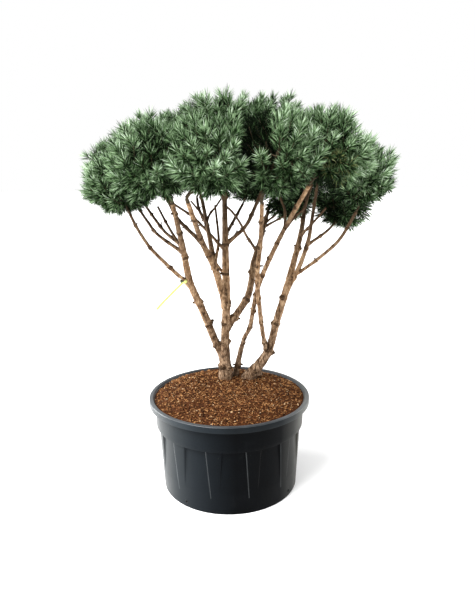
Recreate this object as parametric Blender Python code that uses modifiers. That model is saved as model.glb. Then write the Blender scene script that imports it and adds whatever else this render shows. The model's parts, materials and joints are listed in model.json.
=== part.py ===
"""Potted umbrella pine: several stems in a nursery tub, under a domed crown of needle masses."""

import math
import random

import bmesh
import bpy
from mathutils import Matrix, Quaternion, Vector

# Tub, in metres
RIM_RADIUS = 0.400
RIM_HEIGHT = 0.467
RIM_LIP = 0.020
RIM_ROUND = 0.005
COLLAR_DEPTH = 0.031
COLLAR_FILLET = 0.006
NECK_INSET = 0.006
NECK_TAPER = 0.013
NECK_LOW_HEIGHT = 0.420
BAND_TOP_RADIUS = 0.372
BAND_FOOT_RADIUS = 0.368
BAND_FOOT_HEIGHT = 0.326
WALL_TOP_RADIUS = 0.356
FOOT_RADIUS = 0.338
STEP_HEIGHT = 0.002
FOOT_EDGE = 0.004
FLOOR_THICKNESS = 0.012
WALL_THICKNESS = 0.017
TUB_STEPS = 36

# Sunk panels in the wall, which leave ribs between them that taper towards the foot
PANEL_COUNT = 12
PANEL_FIRST_DEG = 3.5
PANEL_ANGLE_TOP_DEG = 16.6
PANEL_ANGLE_LOW_DEG = 22.0
PANEL_DEPTH_TOP = 0.012
PANEL_DEPTH_LOW = -0.0015
PANEL_TOP_HEIGHT = 0.3225
PANEL_LOW_HEIGHT = 0.085
PANEL_COLUMNS = 3
PANEL_OUT = 0.020
PANEL_FLANK_DEG = 1.2

# Drain holes near the foot
DRAIN_RADIUS = 0.006
DRAIN_HEIGHT = 0.030
DRAIN_BEARINGS_DEG = (-37.0, 57.0, 143.0, -123.0)
DRAIN_OVERRUN = 0.020
DRAIN_SIDES = 8

# Soil, heaped a little under the stems
SOIL_TOP = 0.490
SOIL_EDGE = 0.455
SOIL_FLAT_RADIUS = 0.235
SOIL_SHOULDER = (0.310, 0.476)

# What touching pieces keep between them
GAP = 0.0003
# Points nearer than this are one point
WELD = 0.000002

# Limbs: parent, height at which the limb leaves it, the places it passes through,
# the place it ends at, and its thickness at both ends. A limb with no parent stands in the soil.
LIMBS = {
    "stem_middle": (None, 0, ((-0.02, 0.15, 0.49), (-0.02, 0.12, 0.71), (-0.01, 0.09, 0.90),
                              (-0.01, 0.05, 1.19)), (-0.01, 0.02, 1.60), 0.050, 0.018),
    "stem_right": (None, 0, ((0.10, 0.15, 0.49), (0.20, 0.12, 0.64), (0.24, 0.10, 0.80),
                             (0.295, 0.085, 1.00), (0.365, 0.16, 1.24)), (0.40, 0.28, 1.38), 0.047, 0.018),
    "stem_slim": (None, 0, ((0.03, 0.19, 0.49), (0.075, 0.14, 0.70), (0.108, 0.11, 0.78),
                            (0.14, 0.05, 0.97), (0.18, -0.04, 1.11), (0.26, -0.20, 1.32)),
                  (0.34, -0.36, 1.50), 0.023, 0.016),
    "stem_left": ("stem_middle", 0.58, ((-0.075, 0.125, 0.715), (-0.13, 0.05, 0.89), (-0.18, -0.02, 1.04),
                                        (-0.20, -0.10, 1.21)), (-0.22, -0.30, 1.43), 0.042, 0.018),
    "stem_back": ("stem_middle", 0.77, ((0.10, 0.16, 0.93), (0.13, 0.22, 1.09), (0.17, 0.30, 1.20)),
                  (0.23, 0.48, 1.38), 0.036, 0.016),
    "stem_front": ("stem_middle", 0.89, ((-0.06, 0.00, 1.10), (-0.11, -0.12, 1.24)),
                   (-0.15, -0.38, 1.44), 0.034, 0.017),
    "stem_pale": ("stem_right", 0.63, ((0.17, 0.05, 0.77), (0.14, -0.06, 1.05), (0.15, -0.18, 1.24)),
                  (0.15, -0.34, 1.43), 0.022, 0.016),
    "bough_left_low": ("stem_left", 1.005, ((-0.345, -0.15, 1.228),), (-0.415, -0.21, 1.38), 0.018, 0.011),
    "bough_left": ("stem_left", 1.19, ((-0.32, -0.04, 1.27),), (-0.42, 0.04, 1.39), 0.016, 0.010),
    "bough_left_back": ("stem_left", 1.23, ((-0.30, 0.03, 1.28),), (-0.41, 0.20, 1.39), 0.016, 0.010),
    "bough_left_upper": ("stem_front", 1.24, ((-0.22, -0.06, 1.34),), (-0.30, -0.04, 1.50), 0.018, 0.012),
    "bough_back_middle": ("stem_front", 1.10, ((-0.09, 0.08, 1.26),), (-0.15, 0.22, 1.54), 0.024, 0.013),
    "bough_back": ("bough_back_middle", 1.30, ((-0.15, 0.32, 1.36),), (-0.17, 0.48, 1.41), 0.016, 0.011),
    "bough_back_left": ("stem_middle", 1.18, ((-0.105, 0.15, 1.27), (-0.175, 0.22, 1.33)),
                        (-0.30, 0.34, 1.40), 0.014, 0.010),
    "bough_upper_right": ("stem_middle", 1.21, ((0.088, 0.08, 1.295),), (0.205, 0.12, 1.54), 0.018, 0.012),
    "bough_back_right": ("stem_middle", 1.25, ((0.02, 0.24, 1.29),), (0.08, 0.44, 1.38), 0.015, 0.011),
    "bough_right_upper": ("stem_right", 0.95, ((0.349, 0.07, 1.09), (0.391, 0.065, 1.22)),
                          (0.43, 0.05, 1.50), 0.022, 0.012),
    "bough_right": ("stem_right", 1.03, ((0.427, 0.03, 1.132), (0.523, -0.03, 1.235)),
                    (0.59, -0.08, 1.37), 0.017, 0.011),
    "bough_right_back": ("bough_right_upper", 1.20, ((0.495, 0.17, 1.255),),
                         (0.55, 0.22, 1.30), 0.014, 0.010),
}
FLARE_EXTRA = 0.50
FLARE_HEIGHT = 0.100
LIMB_STEP = 0.11
STEM_FROM_THICKNESS = 0.021
ROOTED_BELOW = 0.030
GROUND_DEPTH = 0.20
GROUND_WIDTH = 1.20
BOX_MARGIN = 0.002

# Masses of foliage: the limb that carries each, its centre and its reach in x, y and z
MASSES = {
    "foliage_left_low": ("bough_left_low", (-0.455, -0.20, 1.50), (0.17, 0.19, 0.145)),
    "foliage_left": ("bough_left", (-0.50, 0.06, 1.55), (0.18, 0.18, 0.17)),
    "foliage_left_back": ("bough_left_back", (-0.47, 0.30, 1.54), (0.19, 0.19, 0.16)),
    "foliage_left_front": ("stem_left", (-0.28, -0.39, 1.58), (0.20, 0.21, 0.17)),
    "foliage_left_upper": ("bough_left_upper", (-0.30, -0.08, 1.655), (0.24, 0.24, 0.155)),
    "foliage_back_left": ("bough_back_left", (-0.33, 0.45, 1.56), (0.18, 0.20, 0.17)),
    "foliage_front": ("stem_front", (-0.05, -0.47, 1.60), (0.20, 0.22, 0.17)),
    "foliage_back": ("bough_back", (-0.11, 0.55, 1.56), (0.19, 0.21, 0.17)),
    "foliage_upper_back": ("bough_back_middle", (-0.15, 0.24, 1.71), (0.25, 0.25, 0.16)),
    "foliage_top": ("stem_middle", (0.0, -0.12, 1.745), (0.26, 0.27, 0.145)),
    "foliage_back_right": ("bough_back_right", (0.14, 0.53, 1.53), (0.19, 0.21, 0.17)),
    "foliage_upper_right": ("bough_upper_right", (0.23, 0.12, 1.745), (0.25, 0.25, 0.155)),
    "foliage_front_right": ("stem_pale", (0.20, -0.41, 1.61), (0.20, 0.22, 0.18)),
    "foliage_far_back": ("stem_back", (0.33, 0.45, 1.475), (0.19, 0.20, 0.17)),
    "foliage_right_front": ("stem_slim", (0.42, -0.32, 1.63), (0.20, 0.21, 0.17)),
    "foliage_right_upper": ("bough_right_upper", (0.44, 0.03, 1.69), (0.24, 0.23, 0.15)),
    "foliage_right_back": ("stem_right", (0.43, 0.29, 1.60), (0.19, 0.18, 0.17)),
    "foliage_right": ("bough_right", (0.60, -0.09, 1.53), (0.165, 0.18, 0.165)),
    "foliage_right_low": ("bough_right_back", (0.59, 0.26, 1.43), (0.17, 0.18, 0.17)),
}
MASS_STEM_STRAIGHT = 0.025
MASS_STEM_BEND_SHARE = 0.60
MASS_STEM_THINS_TO = (1.0, 1.0, 0.85, 0.60)
CORE_SHARE = 0.62
CORE_ROUGHNESS = 0.13
SPRAYS_TRIED = 14
SPRAY_WANDER = 0.20
SPRAY_REACH_SHARES = (0.88, 1.0)
SPRAY_SPREAD_SHARES = (0.90, 1.15)
SPRAY_ON_TWIG_SHARES = (0.06, 0.20)
SPRAY_NEEDLES = 4
SPRAY_ROOT_SHARE = 0.42
NEEDLE_SPREAD = 0.052
NEEDLE_FORWARD = 0.80
SPRAY_SLIM_RADIUS = 0.011
SPRAY_SLIM_FORWARD = 0.62
SPRAY_LENGTHS = (1.0, 0.86, 0.72)
LOW_SPRAY_BELOW = -0.35
CROWN_MIDDLE = Vector((0.03, 0.03, 1.40))
CROWN_HOLLOW = 0.27
TWIG_COUNT = 2
TWIG_RADIUS = 0.005
TWIG_THINS_TO = 0.70
TWIG_WANDER = 0.20
TWIG_START_SHARES = (0.35, 0.55)
TWIG_CHECKED_FROM = 0.30
TWIG_REACH_SHARE = 0.60
TWIG_DROP_SHARE = 0.45
SPACE_MARGIN = 0.0015
CORE_ROOM_SHARE = 0.80
SPRAY_ROOM_SHARE = 0.97
FAR = 9.0
LIMB_MARGIN = 0.004
SEED_STEP = 31
SEED_START = 7
SHARP_DEG = 35

# Label strap looped round the low left bough
TAG_LENGTH = 0.175
TAG_WIDTH = 0.009
TAG_THICKNESS = 0.0012
TAG_LOOP_RADIUS = 0.0125
TAG_LOOP_DEPTH = 0.011
TAG_LOOP_SIDES = 12
TAG_LOOP_PLAY = 0.0007
TAG_ALONG_BOUGH = 0.078
TAG_STARTS_AT_RADIUS = 0.0108
TAG_POINTS_TO = Vector((-0.330, -0.070, 0.925))

COLOURS = {
    "tub": ((0.020, 0.022, 0.024), 0.38),
    "soil": ((0.170, 0.075, 0.035), 0.95),
    "bark": ((0.260, 0.160, 0.100), 0.85),
    "needles": ((0.090, 0.190, 0.140), 0.60),
    "label": ((0.620, 0.700, 0.060), 0.45),
}


def clear_scene():
    """Take away whatever the file opened with."""
    for thing in list(bpy.data.objects):
        bpy.data.objects.remove(thing, do_unlink=True)


def make_collection(name):
    group = bpy.data.collections.new(name)
    bpy.context.scene.collection.children.link(group)
    return group


def make_material(name):
    colour, roughness = COLOURS[name]
    material = bpy.data.materials.new(name)
    material.use_nodes = True
    shader = material.node_tree.nodes["Principled BSDF"]
    shader.inputs["Base Color"].default_value = (*colour, 1.0)
    shader.inputs["Roughness"].default_value = roughness
    shader.inputs["Metallic"].default_value = 0.0
    return material


def mesh_from_bmesh(name, bm):
    mesh = bpy.data.meshes.new(name)
    bm.to_mesh(mesh)
    bm.free()
    return mesh


def add_object(name, mesh, group, material=None):
    thing = bpy.data.objects.new(name, mesh)
    group.objects.link(thing)
    if material:
        mesh.materials.clear()
        mesh.materials.append(material)
    return thing


def evaluated_mesh(thing):
    """The mesh of an object after its modifiers, welded."""
    graph = bpy.context.evaluated_depsgraph_get()
    mesh = bpy.data.meshes.new_from_object(thing.evaluated_get(graph))
    bm = bmesh.new()
    bm.from_mesh(mesh)
    bmesh.ops.remove_doubles(bm, verts=bm.verts, dist=WELD)
    bm.to_mesh(mesh)
    bm.free()
    return mesh


def remove_all(things):
    for thing in list(things):
        bpy.data.objects.remove(thing, do_unlink=True)


def apply_boolean(thing, others, operation):
    """Cut or join a thing with the others, which are used up. An exact result that isn't a closed skin
    is made again with the other solver."""
    operands = bpy.data.collections.new(thing.name + "_operands")
    bpy.context.scene.collection.children.link(operands)
    for other in others:
        for owner in list(other.users_collection):
            owner.objects.unlink(other)
        operands.objects.link(other)
    modifier = thing.modifiers.new("boolean", "BOOLEAN")
    modifier.operation = operation
    modifier.operand_type = "COLLECTION"
    modifier.collection = operands
    modifier.solver = "EXACT"
    mesh = largest_body(evaluated_mesh(thing))
    if not is_closed(mesh):
        modifier.solver = "MANIFOLD"
        mesh = largest_body(evaluated_mesh(thing))
    thing.modifiers.clear()
    thing.data = mesh
    remove_all(operands.objects)
    bpy.data.collections.remove(operands)
    return thing


def is_closed(mesh):
    bm = bmesh.new()
    bm.from_mesh(mesh)
    closed = all(edge.is_manifold and edge.is_contiguous for edge in bm.edges)
    closed = closed and all(vert.is_manifold for vert in bm.verts) and bm.calc_volume(signed=True) > 0
    bm.free()
    return closed


def face_volume(face):
    """The signed volume between a face and the origin, which is positive over a whole outer skin."""
    corners = [vert.co for vert in face.verts]
    return sum(corners[0].dot(second.cross(third)) for second, third in zip(corners[1:], corners[2:])) / 6


def largest_body(mesh):
    """Fill sealed hollows and drop the scraps that a cut or a join leaves behind."""
    bm = bmesh.new()
    bm.from_mesh(mesh)
    unseen = set(bm.faces)
    bodies = []
    while unseen:
        waiting = [unseen.pop()]
        body = []
        while waiting:
            face = waiting.pop()
            body.append(face)
            for edge in face.edges:
                for other in edge.link_faces:
                    if other in unseen and len(edge.link_faces) == 2:
                        unseen.discard(other)
                        waiting.append(other)
        bodies.append(body)
    bodies.sort(key=lambda faces: sum(face_volume(face) for face in faces))
    scraps = [face for body in bodies[:-1] for face in body]
    bmesh.ops.delete(bm, geom=scraps, context="FACES")
    bm.to_mesh(mesh)
    bm.free()
    return mesh


# Tub and soil

def turned(name, profile, group, material):
    """A solid of revolution from (radius, height) points that run down its outer side."""
    bm = bmesh.new()
    verts = [bm.verts.new((radius, 0.0, height)) for radius, height in profile]
    for first, second in zip(verts, verts[1:]):
        bm.edges.new((first, second))
    thing = add_object(name, mesh_from_bmesh(name, bm), group, material)
    screw = thing.modifiers.new("turn", "SCREW")
    screw.steps = TUB_STEPS
    screw.render_steps = TUB_STEPS
    screw.use_merge_vertices = True
    screw.merge_threshold = 0.0001
    return thing


def inner_radius(height):
    """The inner wall of the tub, parallel to the outer one."""
    share = height / BAND_FOOT_HEIGHT
    return FOOT_RADIUS + (WALL_TOP_RADIUS - FOOT_RADIUS) * share - WALL_THICKNESS


def build_tub(group, material):
    lip_inner = RIM_RADIUS - RIM_LIP
    neck = lip_inner - NECK_INSET
    profile = [
        (0.0, FLOOR_THICKNESS),
        (inner_radius(FLOOR_THICKNESS), FLOOR_THICKNESS),
        (inner_radius(BAND_FOOT_HEIGHT), BAND_FOOT_HEIGHT),
        (neck - NECK_TAPER, NECK_LOW_HEIGHT),
        (neck, RIM_HEIGHT - NECK_INSET),
        (lip_inner, RIM_HEIGHT),
        (RIM_RADIUS - RIM_ROUND, RIM_HEIGHT),
        (RIM_RADIUS, RIM_HEIGHT - RIM_ROUND),
        (RIM_RADIUS, RIM_HEIGHT - COLLAR_DEPTH),
        (BAND_TOP_RADIUS + COLLAR_FILLET, RIM_HEIGHT - COLLAR_DEPTH),
        (BAND_TOP_RADIUS, RIM_HEIGHT - COLLAR_DEPTH - COLLAR_FILLET),
        (BAND_FOOT_RADIUS, BAND_FOOT_HEIGHT + FOOT_EDGE),
        (BAND_FOOT_RADIUS - FOOT_EDGE, BAND_FOOT_HEIGHT),
        (WALL_TOP_RADIUS, BAND_FOOT_HEIGHT - STEP_HEIGHT),
        (FOOT_RADIUS, FOOT_EDGE),
        (FOOT_RADIUS - FOOT_EDGE, 0.0),
        (0.0, 0.0),
    ]
    tub = turned("tub", profile, group, material)
    tub.data = evaluated_mesh(tub)
    tub.modifiers.clear()
    cutters = [panel_cutter(number) for number in range(PANEL_COUNT)]
    cutters += [drain_cutter(bearing) for bearing in DRAIN_BEARINGS_DEG]
    return apply_boolean(tub, cutters, "DIFFERENCE")


def bearing_direction(degrees):
    """A level direction: 0 is the front, and it turns towards +X."""
    angle = math.radians(degrees)
    return Vector((math.sin(angle), -math.cos(angle), 0.0))


def rod_between(name, start, end, radius, sides):
    bm = bmesh.new()
    run = end - start
    turn = Vector((0, 0, 1)).rotation_difference(run.normalized()).to_matrix().to_4x4()
    place = Matrix.Translation((start + end) / 2) @ turn
    bmesh.ops.create_cone(bm, cap_ends=True, cap_tris=False, segments=sides, radius1=radius,
                          radius2=radius, depth=run.length, matrix=place)
    thing = bpy.data.objects.new(name, mesh_from_bmesh(name, bm))
    bpy.context.scene.collection.objects.link(thing)
    return thing


def wall_radius(height):
    """The outer wall, which narrows from the band to the foot."""
    share = (height - FOOT_EDGE) / (BAND_FOOT_HEIGHT - STEP_HEIGHT - FOOT_EDGE)
    return FOOT_RADIUS + (WALL_TOP_RADIUS - FOOT_RADIUS) * share


def panel_cutter(number):
    """A curved wedge that is deepest under the band and leaves the wall towards the foot."""
    bearing = PANEL_FIRST_DEG + number * 360.0 / PANEL_COUNT
    bm = bmesh.new()
    bmesh.ops.create_grid(bm, x_segments=PANEL_COLUMNS, y_segments=1, size=1.0)
    solid = bmesh.ops.extrude_face_region(bm, geom=list(bm.faces))
    for vert in [part for part in solid["geom"] if isinstance(part, bmesh.types.BMVert)]:
        vert.co.z = 1.0
    for vert in bm.verts:
        low_share = (1 - vert.co.y) / 2
        height = PANEL_TOP_HEIGHT + (PANEL_LOW_HEIGHT - PANEL_TOP_HEIGHT) * low_share
        angle = PANEL_ANGLE_TOP_DEG + (PANEL_ANGLE_LOW_DEG - PANEL_ANGLE_TOP_DEG) * low_share
        depth = PANEL_DEPTH_TOP + (PANEL_DEPTH_LOW - PANEL_DEPTH_TOP) * low_share
        half = angle / 2 + PANEL_FLANK_DEG * vert.co.z
        radius = wall_radius(height) - depth + (PANEL_OUT + depth) * vert.co.z
        vert.co = bearing_direction(bearing + half * vert.co.x) * radius + Vector((0, 0, height))
    bmesh.ops.recalc_face_normals(bm, faces=bm.faces)
    cutter = bpy.data.objects.new("panel", mesh_from_bmesh("panel", bm))
    bpy.context.scene.collection.objects.link(cutter)
    return cutter


def drain_cutter(bearing):
    out = bearing_direction(bearing)
    level = Vector((0, 0, DRAIN_HEIGHT))
    start = out * (FOOT_RADIUS - WALL_THICKNESS - FOOT_EDGE) + level
    end = out * (FOOT_RADIUS + DRAIN_OVERRUN) + level
    return rod_between("drain", start, end, DRAIN_RADIUS, DRAIN_SIDES)


def build_soil(group, material):
    neck_low = RIM_RADIUS - RIM_LIP - NECK_INSET - NECK_TAPER
    rise = (SOIL_EDGE - NECK_LOW_HEIGHT) / (RIM_HEIGHT - NECK_INSET - NECK_LOW_HEIGHT)
    edge_radius = neck_low + NECK_TAPER * rise
    profile = [
        (0.0, SOIL_TOP),
        (SOIL_FLAT_RADIUS, SOIL_TOP),
        SOIL_SHOULDER,
        (edge_radius - GAP, SOIL_EDGE),
        (neck_low - GAP, NECK_LOW_HEIGHT),
        (inner_radius(BAND_FOOT_HEIGHT) - GAP, BAND_FOOT_HEIGHT),
        (inner_radius(FLOOR_THICKNESS) - GAP, FLOOR_THICKNESS + GAP),
        (0.0, FLOOR_THICKNESS + GAP),
    ]
    soil = turned("soil", profile, group, material)
    soil.data = evaluated_mesh(soil)
    soil.modifiers.clear()
    return soil


# Limbs

def smooth_route(points, step):
    """Points along a smooth curve through the given ones."""
    ends = [points[0] * 2 - points[1]] + points + [points[-1] * 2 - points[-2]]
    route = [points[0]]
    for before, start, end, after in zip(ends, ends[1:], ends[2:], ends[3:]):
        pieces = max(1, round((end - start).length / step))
        for piece in range(1, pieces + 1):
            t = piece / pieces
            route.append(0.5 * ((2 * start) + (end - before) * t
                                + (2 * before - 5 * start + 4 * end - after) * t * t
                                + (3 * start - before - 3 * end + after) * t ** 3))
    return route


def point_at_height(route, height):
    for low, high in zip(route, route[1:]):
        if low.z <= height <= high.z:
            return low.lerp(high, (height - low.z) / (high.z - low.z))
    return route[-1]


def limb_radii(route, thick, thin, flared):
    """Half the limb's thickness at each point of its route."""
    lengths = [0.0]
    for first, second in zip(route, route[1:]):
        lengths.append(lengths[-1] + (second - first).length)
    radii = []
    for length in lengths:
        radius = (thick + (thin - thick) * length / lengths[-1]) / 2
        if flared:
            radius *= 1 + FLARE_EXTRA * math.exp(-max(0.0, length - ROOTED_BELOW) / FLARE_HEIGHT)
        radii.append(radius)
    return radii


def roundness(name):
    """Stems get eight sides and the thinner boughs six."""
    return 2 if LIMBS[name][4] > STEM_FROM_THICKNESS else 1


def tube(name, route, radii, group, resolution=2):
    """A round tapering solid along a route."""
    curve = bpy.data.curves.new(name, "CURVE")
    curve.dimensions = "3D"
    curve.bevel_depth = 1.0
    curve.bevel_resolution = resolution
    curve.use_fill_caps = True
    spline = curve.splines.new("POLY")
    spline.points.add(len(route) - 1)
    for point, place, radius in zip(spline.points, route, radii):
        point.co = (*place, 1.0)
        point.radius = radius
    shape = bpy.data.objects.new(name, curve)
    group.objects.link(shape)
    bpy.context.view_layer.update()
    mesh = evaluated_mesh(shape)
    bpy.data.objects.remove(shape, do_unlink=True)
    bpy.data.curves.remove(curve)
    return add_object(name, mesh, group)


def box_of(route, radii):
    margin = max(radii) + BOX_MARGIN
    low = [min(point[axis] for point in route) - margin for axis in range(3)]
    high = [max(point[axis] for point in route) + margin for axis in range(3)]
    return low, high


def boxes_meet(one, two):
    return all(one[0][axis] < two[1][axis] and two[0][axis] < one[1][axis] for axis in range(3))


def limb_route(name, plans):
    """The limb's whole route, from its root inside its parent to its tip."""
    parent, height, through, tip, thick, thin = LIMBS[name]
    places = [Vector(place) for place in through] + [Vector(tip)]
    if parent:
        places.insert(0, point_at_height(plans[parent][0], height))
    else:
        below = places[0] - (places[1] - places[0]).normalized() * ROOTED_BELOW
        places[0] = places[0].copy()
        places.insert(0, below)
    route = smooth_route(places, LIMB_STEP)
    return route, limb_radii(route, thick, thin, parent is None)


def build_limbs(group, material):
    """Each limb is cut clear of the ones before it, and the stems end flat on the soil."""
    plans = {}
    for name in LIMBS:
        plans[name] = limb_route(name, plans)
    limbs = {}
    for name, (route, radii) in plans.items():
        limb = tube(name, route, radii, group, roundness(name))
        cutters = []
        for other in limbs:
            other_route, other_radii = plans[other]
            if boxes_meet(box_of(route, radii), box_of(other_route, other_radii)):
                fat = [radius + GAP for radius in other_radii]
                cutters.append(tube(other + "_clear", other_route, fat, group, roundness(other)))
        if LIMBS[name][0] is None:
            cutters.append(ground_cutter())
        if cutters:
            apply_boolean(limb, cutters, "DIFFERENCE")
        limb.data.materials.clear()
        limb.data.materials.append(material)
        limbs[name] = limb
    return plans


def ground_cutter():
    bm = bmesh.new()
    place = Matrix.Translation((0, 0, SOIL_TOP + GAP - GROUND_DEPTH / 2))
    size = Matrix.Diagonal((GROUND_WIDTH, GROUND_WIDTH, GROUND_DEPTH, 1.0))
    bmesh.ops.create_cube(bm, size=1.0, matrix=place @ size)
    thing = bpy.data.objects.new("ground", mesh_from_bmesh("ground", bm))
    bpy.context.scene.collection.objects.link(thing)
    return thing


# Foliage

def even_directions(count, turn):
    """Directions spread evenly over a ball."""
    golden = math.pi * (3 - math.sqrt(5))
    directions = []
    for number in range(count):
        height = 1 - 2 * (number + 0.5) / count
        ring = math.sqrt(1 - height * height)
        angle = golden * number + turn
        directions.append(Vector((ring * math.cos(angle), ring * math.sin(angle), height)))
    return directions


def spray_mesh(root, tip, spread, spin):
    """A slim spindle from root to tip that needles stand out of, all round."""
    bm = bmesh.new()
    bmesh.ops.create_cone(bm, cap_ends=True, cap_tris=True, segments=SPRAY_NEEDLES * 2,
                          radius1=1.0, radius2=0.0, depth=2.0)
    run = tip - root
    turn = Vector((0, 0, 1)).rotation_difference(run.normalized())
    turn = turn @ Quaternion((0, 0, 1), spin)
    for vert in bm.verts:
        ring = math.hypot(vert.co.x, vert.co.y)
        if ring < 0.5:
            vert.co = tip if vert.co.z > 0 else root
            continue
        step = round(math.atan2(vert.co.y, vert.co.x) / math.pi * SPRAY_NEEDLES)
        outer = step % 2 == 0
        reach = spread if outer else SPRAY_SLIM_RADIUS
        forward = (NEEDLE_FORWARD if outer else SPRAY_SLIM_FORWARD) * run.length
        local = Vector((vert.co.x / ring * reach, vert.co.y / ring * reach, forward))
        vert.co = root + turn @ local
    mesh = bpy.data.meshes.new("spray")
    bm.to_mesh(mesh)
    bm.free()
    return mesh


def core_mesh(centre, reach, others, dice):
    """The dense heart of a mass: a lumpy ball, smaller than its reach."""
    bm = bmesh.new()
    bmesh.ops.create_icosphere(bm, subdivisions=1, radius=1.0)
    for vert in bm.verts:
        lump = CORE_SHARE * (1 + dice.uniform(-CORE_ROUGHNESS, CORE_ROUGHNESS))
        run = Vector([vert.co[axis] * reach[axis] * lump for axis in range(3)])
        room = room_along(run.normalized(), centre, others) * CORE_ROOM_SHARE
        vert.co = centre + run * min(1.0, room / run.length)
    return mesh_from_bmesh("core", bm)


def in_own_space(point, centre, others):
    """True on this mass's side of the plane half-way to every other mass."""
    for other in others:
        across = other - centre
        middle = (other + centre) / 2
        if (point - middle).dot(across.normalized()) > -SPACE_MARGIN:
            return False
    return True


def room_along(direction, centre, others):
    """How far the mass's own space runs from its centre."""
    room = FAR
    for other in others:
        across = other - centre
        towards = direction.dot(across)
        if towards > 0:
            room = min(room, across.length_squared / 2 / towards)
    return room


def distance_to_run(point, start, end):
    run = end - start
    share = max(0.0, min(1.0, (point - start).dot(run) / run.length_squared))
    return (point - start - run * share).length


def clear_of_limbs(points, plans):
    for route, radii in plans.values():
        for start, end, radius in zip(route, route[1:], radii):
            for point in points:
                if distance_to_run(point, start, end) < radius + LIMB_MARGIN:
                    return False
    return True


def points_between(start, end, count):
    return [start.lerp(end, number / count) for number in range(count + 1)]


def fits_own_space(points, centre, others, plans):
    return all(in_own_space(point, centre, others) for point in points) and clear_of_limbs(points, plans)


def grow_twigs(name, foot, centre, reach, others, plans, dice, group):
    """Four-sided twigs that leave the stem under the heart and spread to the sides."""
    pieces = []
    runs = []
    turn = dice.uniform(0, math.tau)
    for number in range(TWIG_COUNT):
        angle = turn + (number + dice.uniform(-TWIG_WANDER, TWIG_WANDER)) * math.tau / TWIG_COUNT
        start = foot.lerp(centre, dice.uniform(*TWIG_START_SHARES))
        level = Vector((math.cos(angle) * reach[0], math.sin(angle) * reach[1], 0.0))
        end = centre + level * TWIG_REACH_SHARE - Vector((0, 0, reach[2] * TWIG_DROP_SHARE))
        outer = points_between(start.lerp(end, TWIG_CHECKED_FROM), end, 3)
        if fits_own_space(outer, centre, others, plans):
            radii = [TWIG_RADIUS, TWIG_RADIUS * TWIG_THINS_TO]
            pieces.append(tube(name + "_twig", [start, end], radii, group, resolution=0))
            runs.append((start, end))
    return pieces, runs


def spray_root(centre, tip, direction, twig_runs, dice):
    """A low spray grows from the nearest twig's end, and the others from the heart."""
    if direction.z < LOW_SPRAY_BELOW and twig_runs:
        start, end = min(twig_runs, key=lambda run: (run[1] - tip).length)
        return end.lerp(start, dice.uniform(*SPRAY_ON_TWIG_SHARES))
    return centre.lerp(tip, SPRAY_ROOT_SHARE)


def build_mass(name, number, plans, group, material):
    """One stem, a dense heart, twigs and sprays of needles, joined into one solid."""
    carrier, centre, reach = MASSES[name]
    centre = Vector(centre)
    others = [Vector(row[1]) for other, row in MASSES.items() if other != name]
    dice = random.Random(number * SEED_STEP + SEED_START)
    route, radii = plans[carrier]
    along = (route[-1] - route[-2]).normalized()
    foot = route[-1] + along * GAP
    stem_route = [foot, foot + along * MASS_STEM_STRAIGHT, foot.lerp(centre, MASS_STEM_BEND_SHARE), centre]
    stem_radii = [radii[-1] * share for share in MASS_STEM_THINS_TO]
    pieces = [tube(name + "_stem", stem_route, stem_radii, group, resolution=1)]
    twigs, twig_runs = grow_twigs(name, foot, centre, reach, others, plans, dice, group)
    pieces += twigs

    for direction in even_directions(SPRAYS_TRIED, dice.uniform(0, math.tau)):
        wander = Vector([dice.uniform(-SPRAY_WANDER, SPRAY_WANDER) for axis in range(3)])
        direction = (direction + wander).normalized()
        longest = dice.uniform(*SPRAY_REACH_SHARES)
        spin = dice.uniform(0, math.tau)
        spread = NEEDLE_SPREAD * dice.uniform(*SPRAY_SPREAD_SHARES)
        if (centre + direction * reach[0] - CROWN_MIDDLE).length < CROWN_HOLLOW:
            continue
        run = Vector([direction[axis] * reach[axis] * longest for axis in range(3)])
        room = room_along(run.normalized(), centre, others) * SPRAY_ROOM_SHARE
        run *= min(1.0, room / run.length)
        for share in SPRAY_LENGTHS:
            tip = centre + run * share
            root = spray_root(centre, tip, direction, twig_runs, dice)
            mesh = spray_mesh(root, tip, spread * share, spin)
            corners = [vert.co.copy() for vert in mesh.vertices]
            if fits_own_space(corners + points_between(root, tip, 4), centre, others, plans):
                pieces.append(add_object("spray", mesh, group))
                break
            bpy.data.meshes.remove(mesh)

    mass = add_object(name, core_mesh(centre, reach, others, dice), group)
    apply_boolean(mass, pieces, "UNION")
    mass.data.materials.clear()
    mass.data.materials.append(material)
    return mass


# Label

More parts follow.
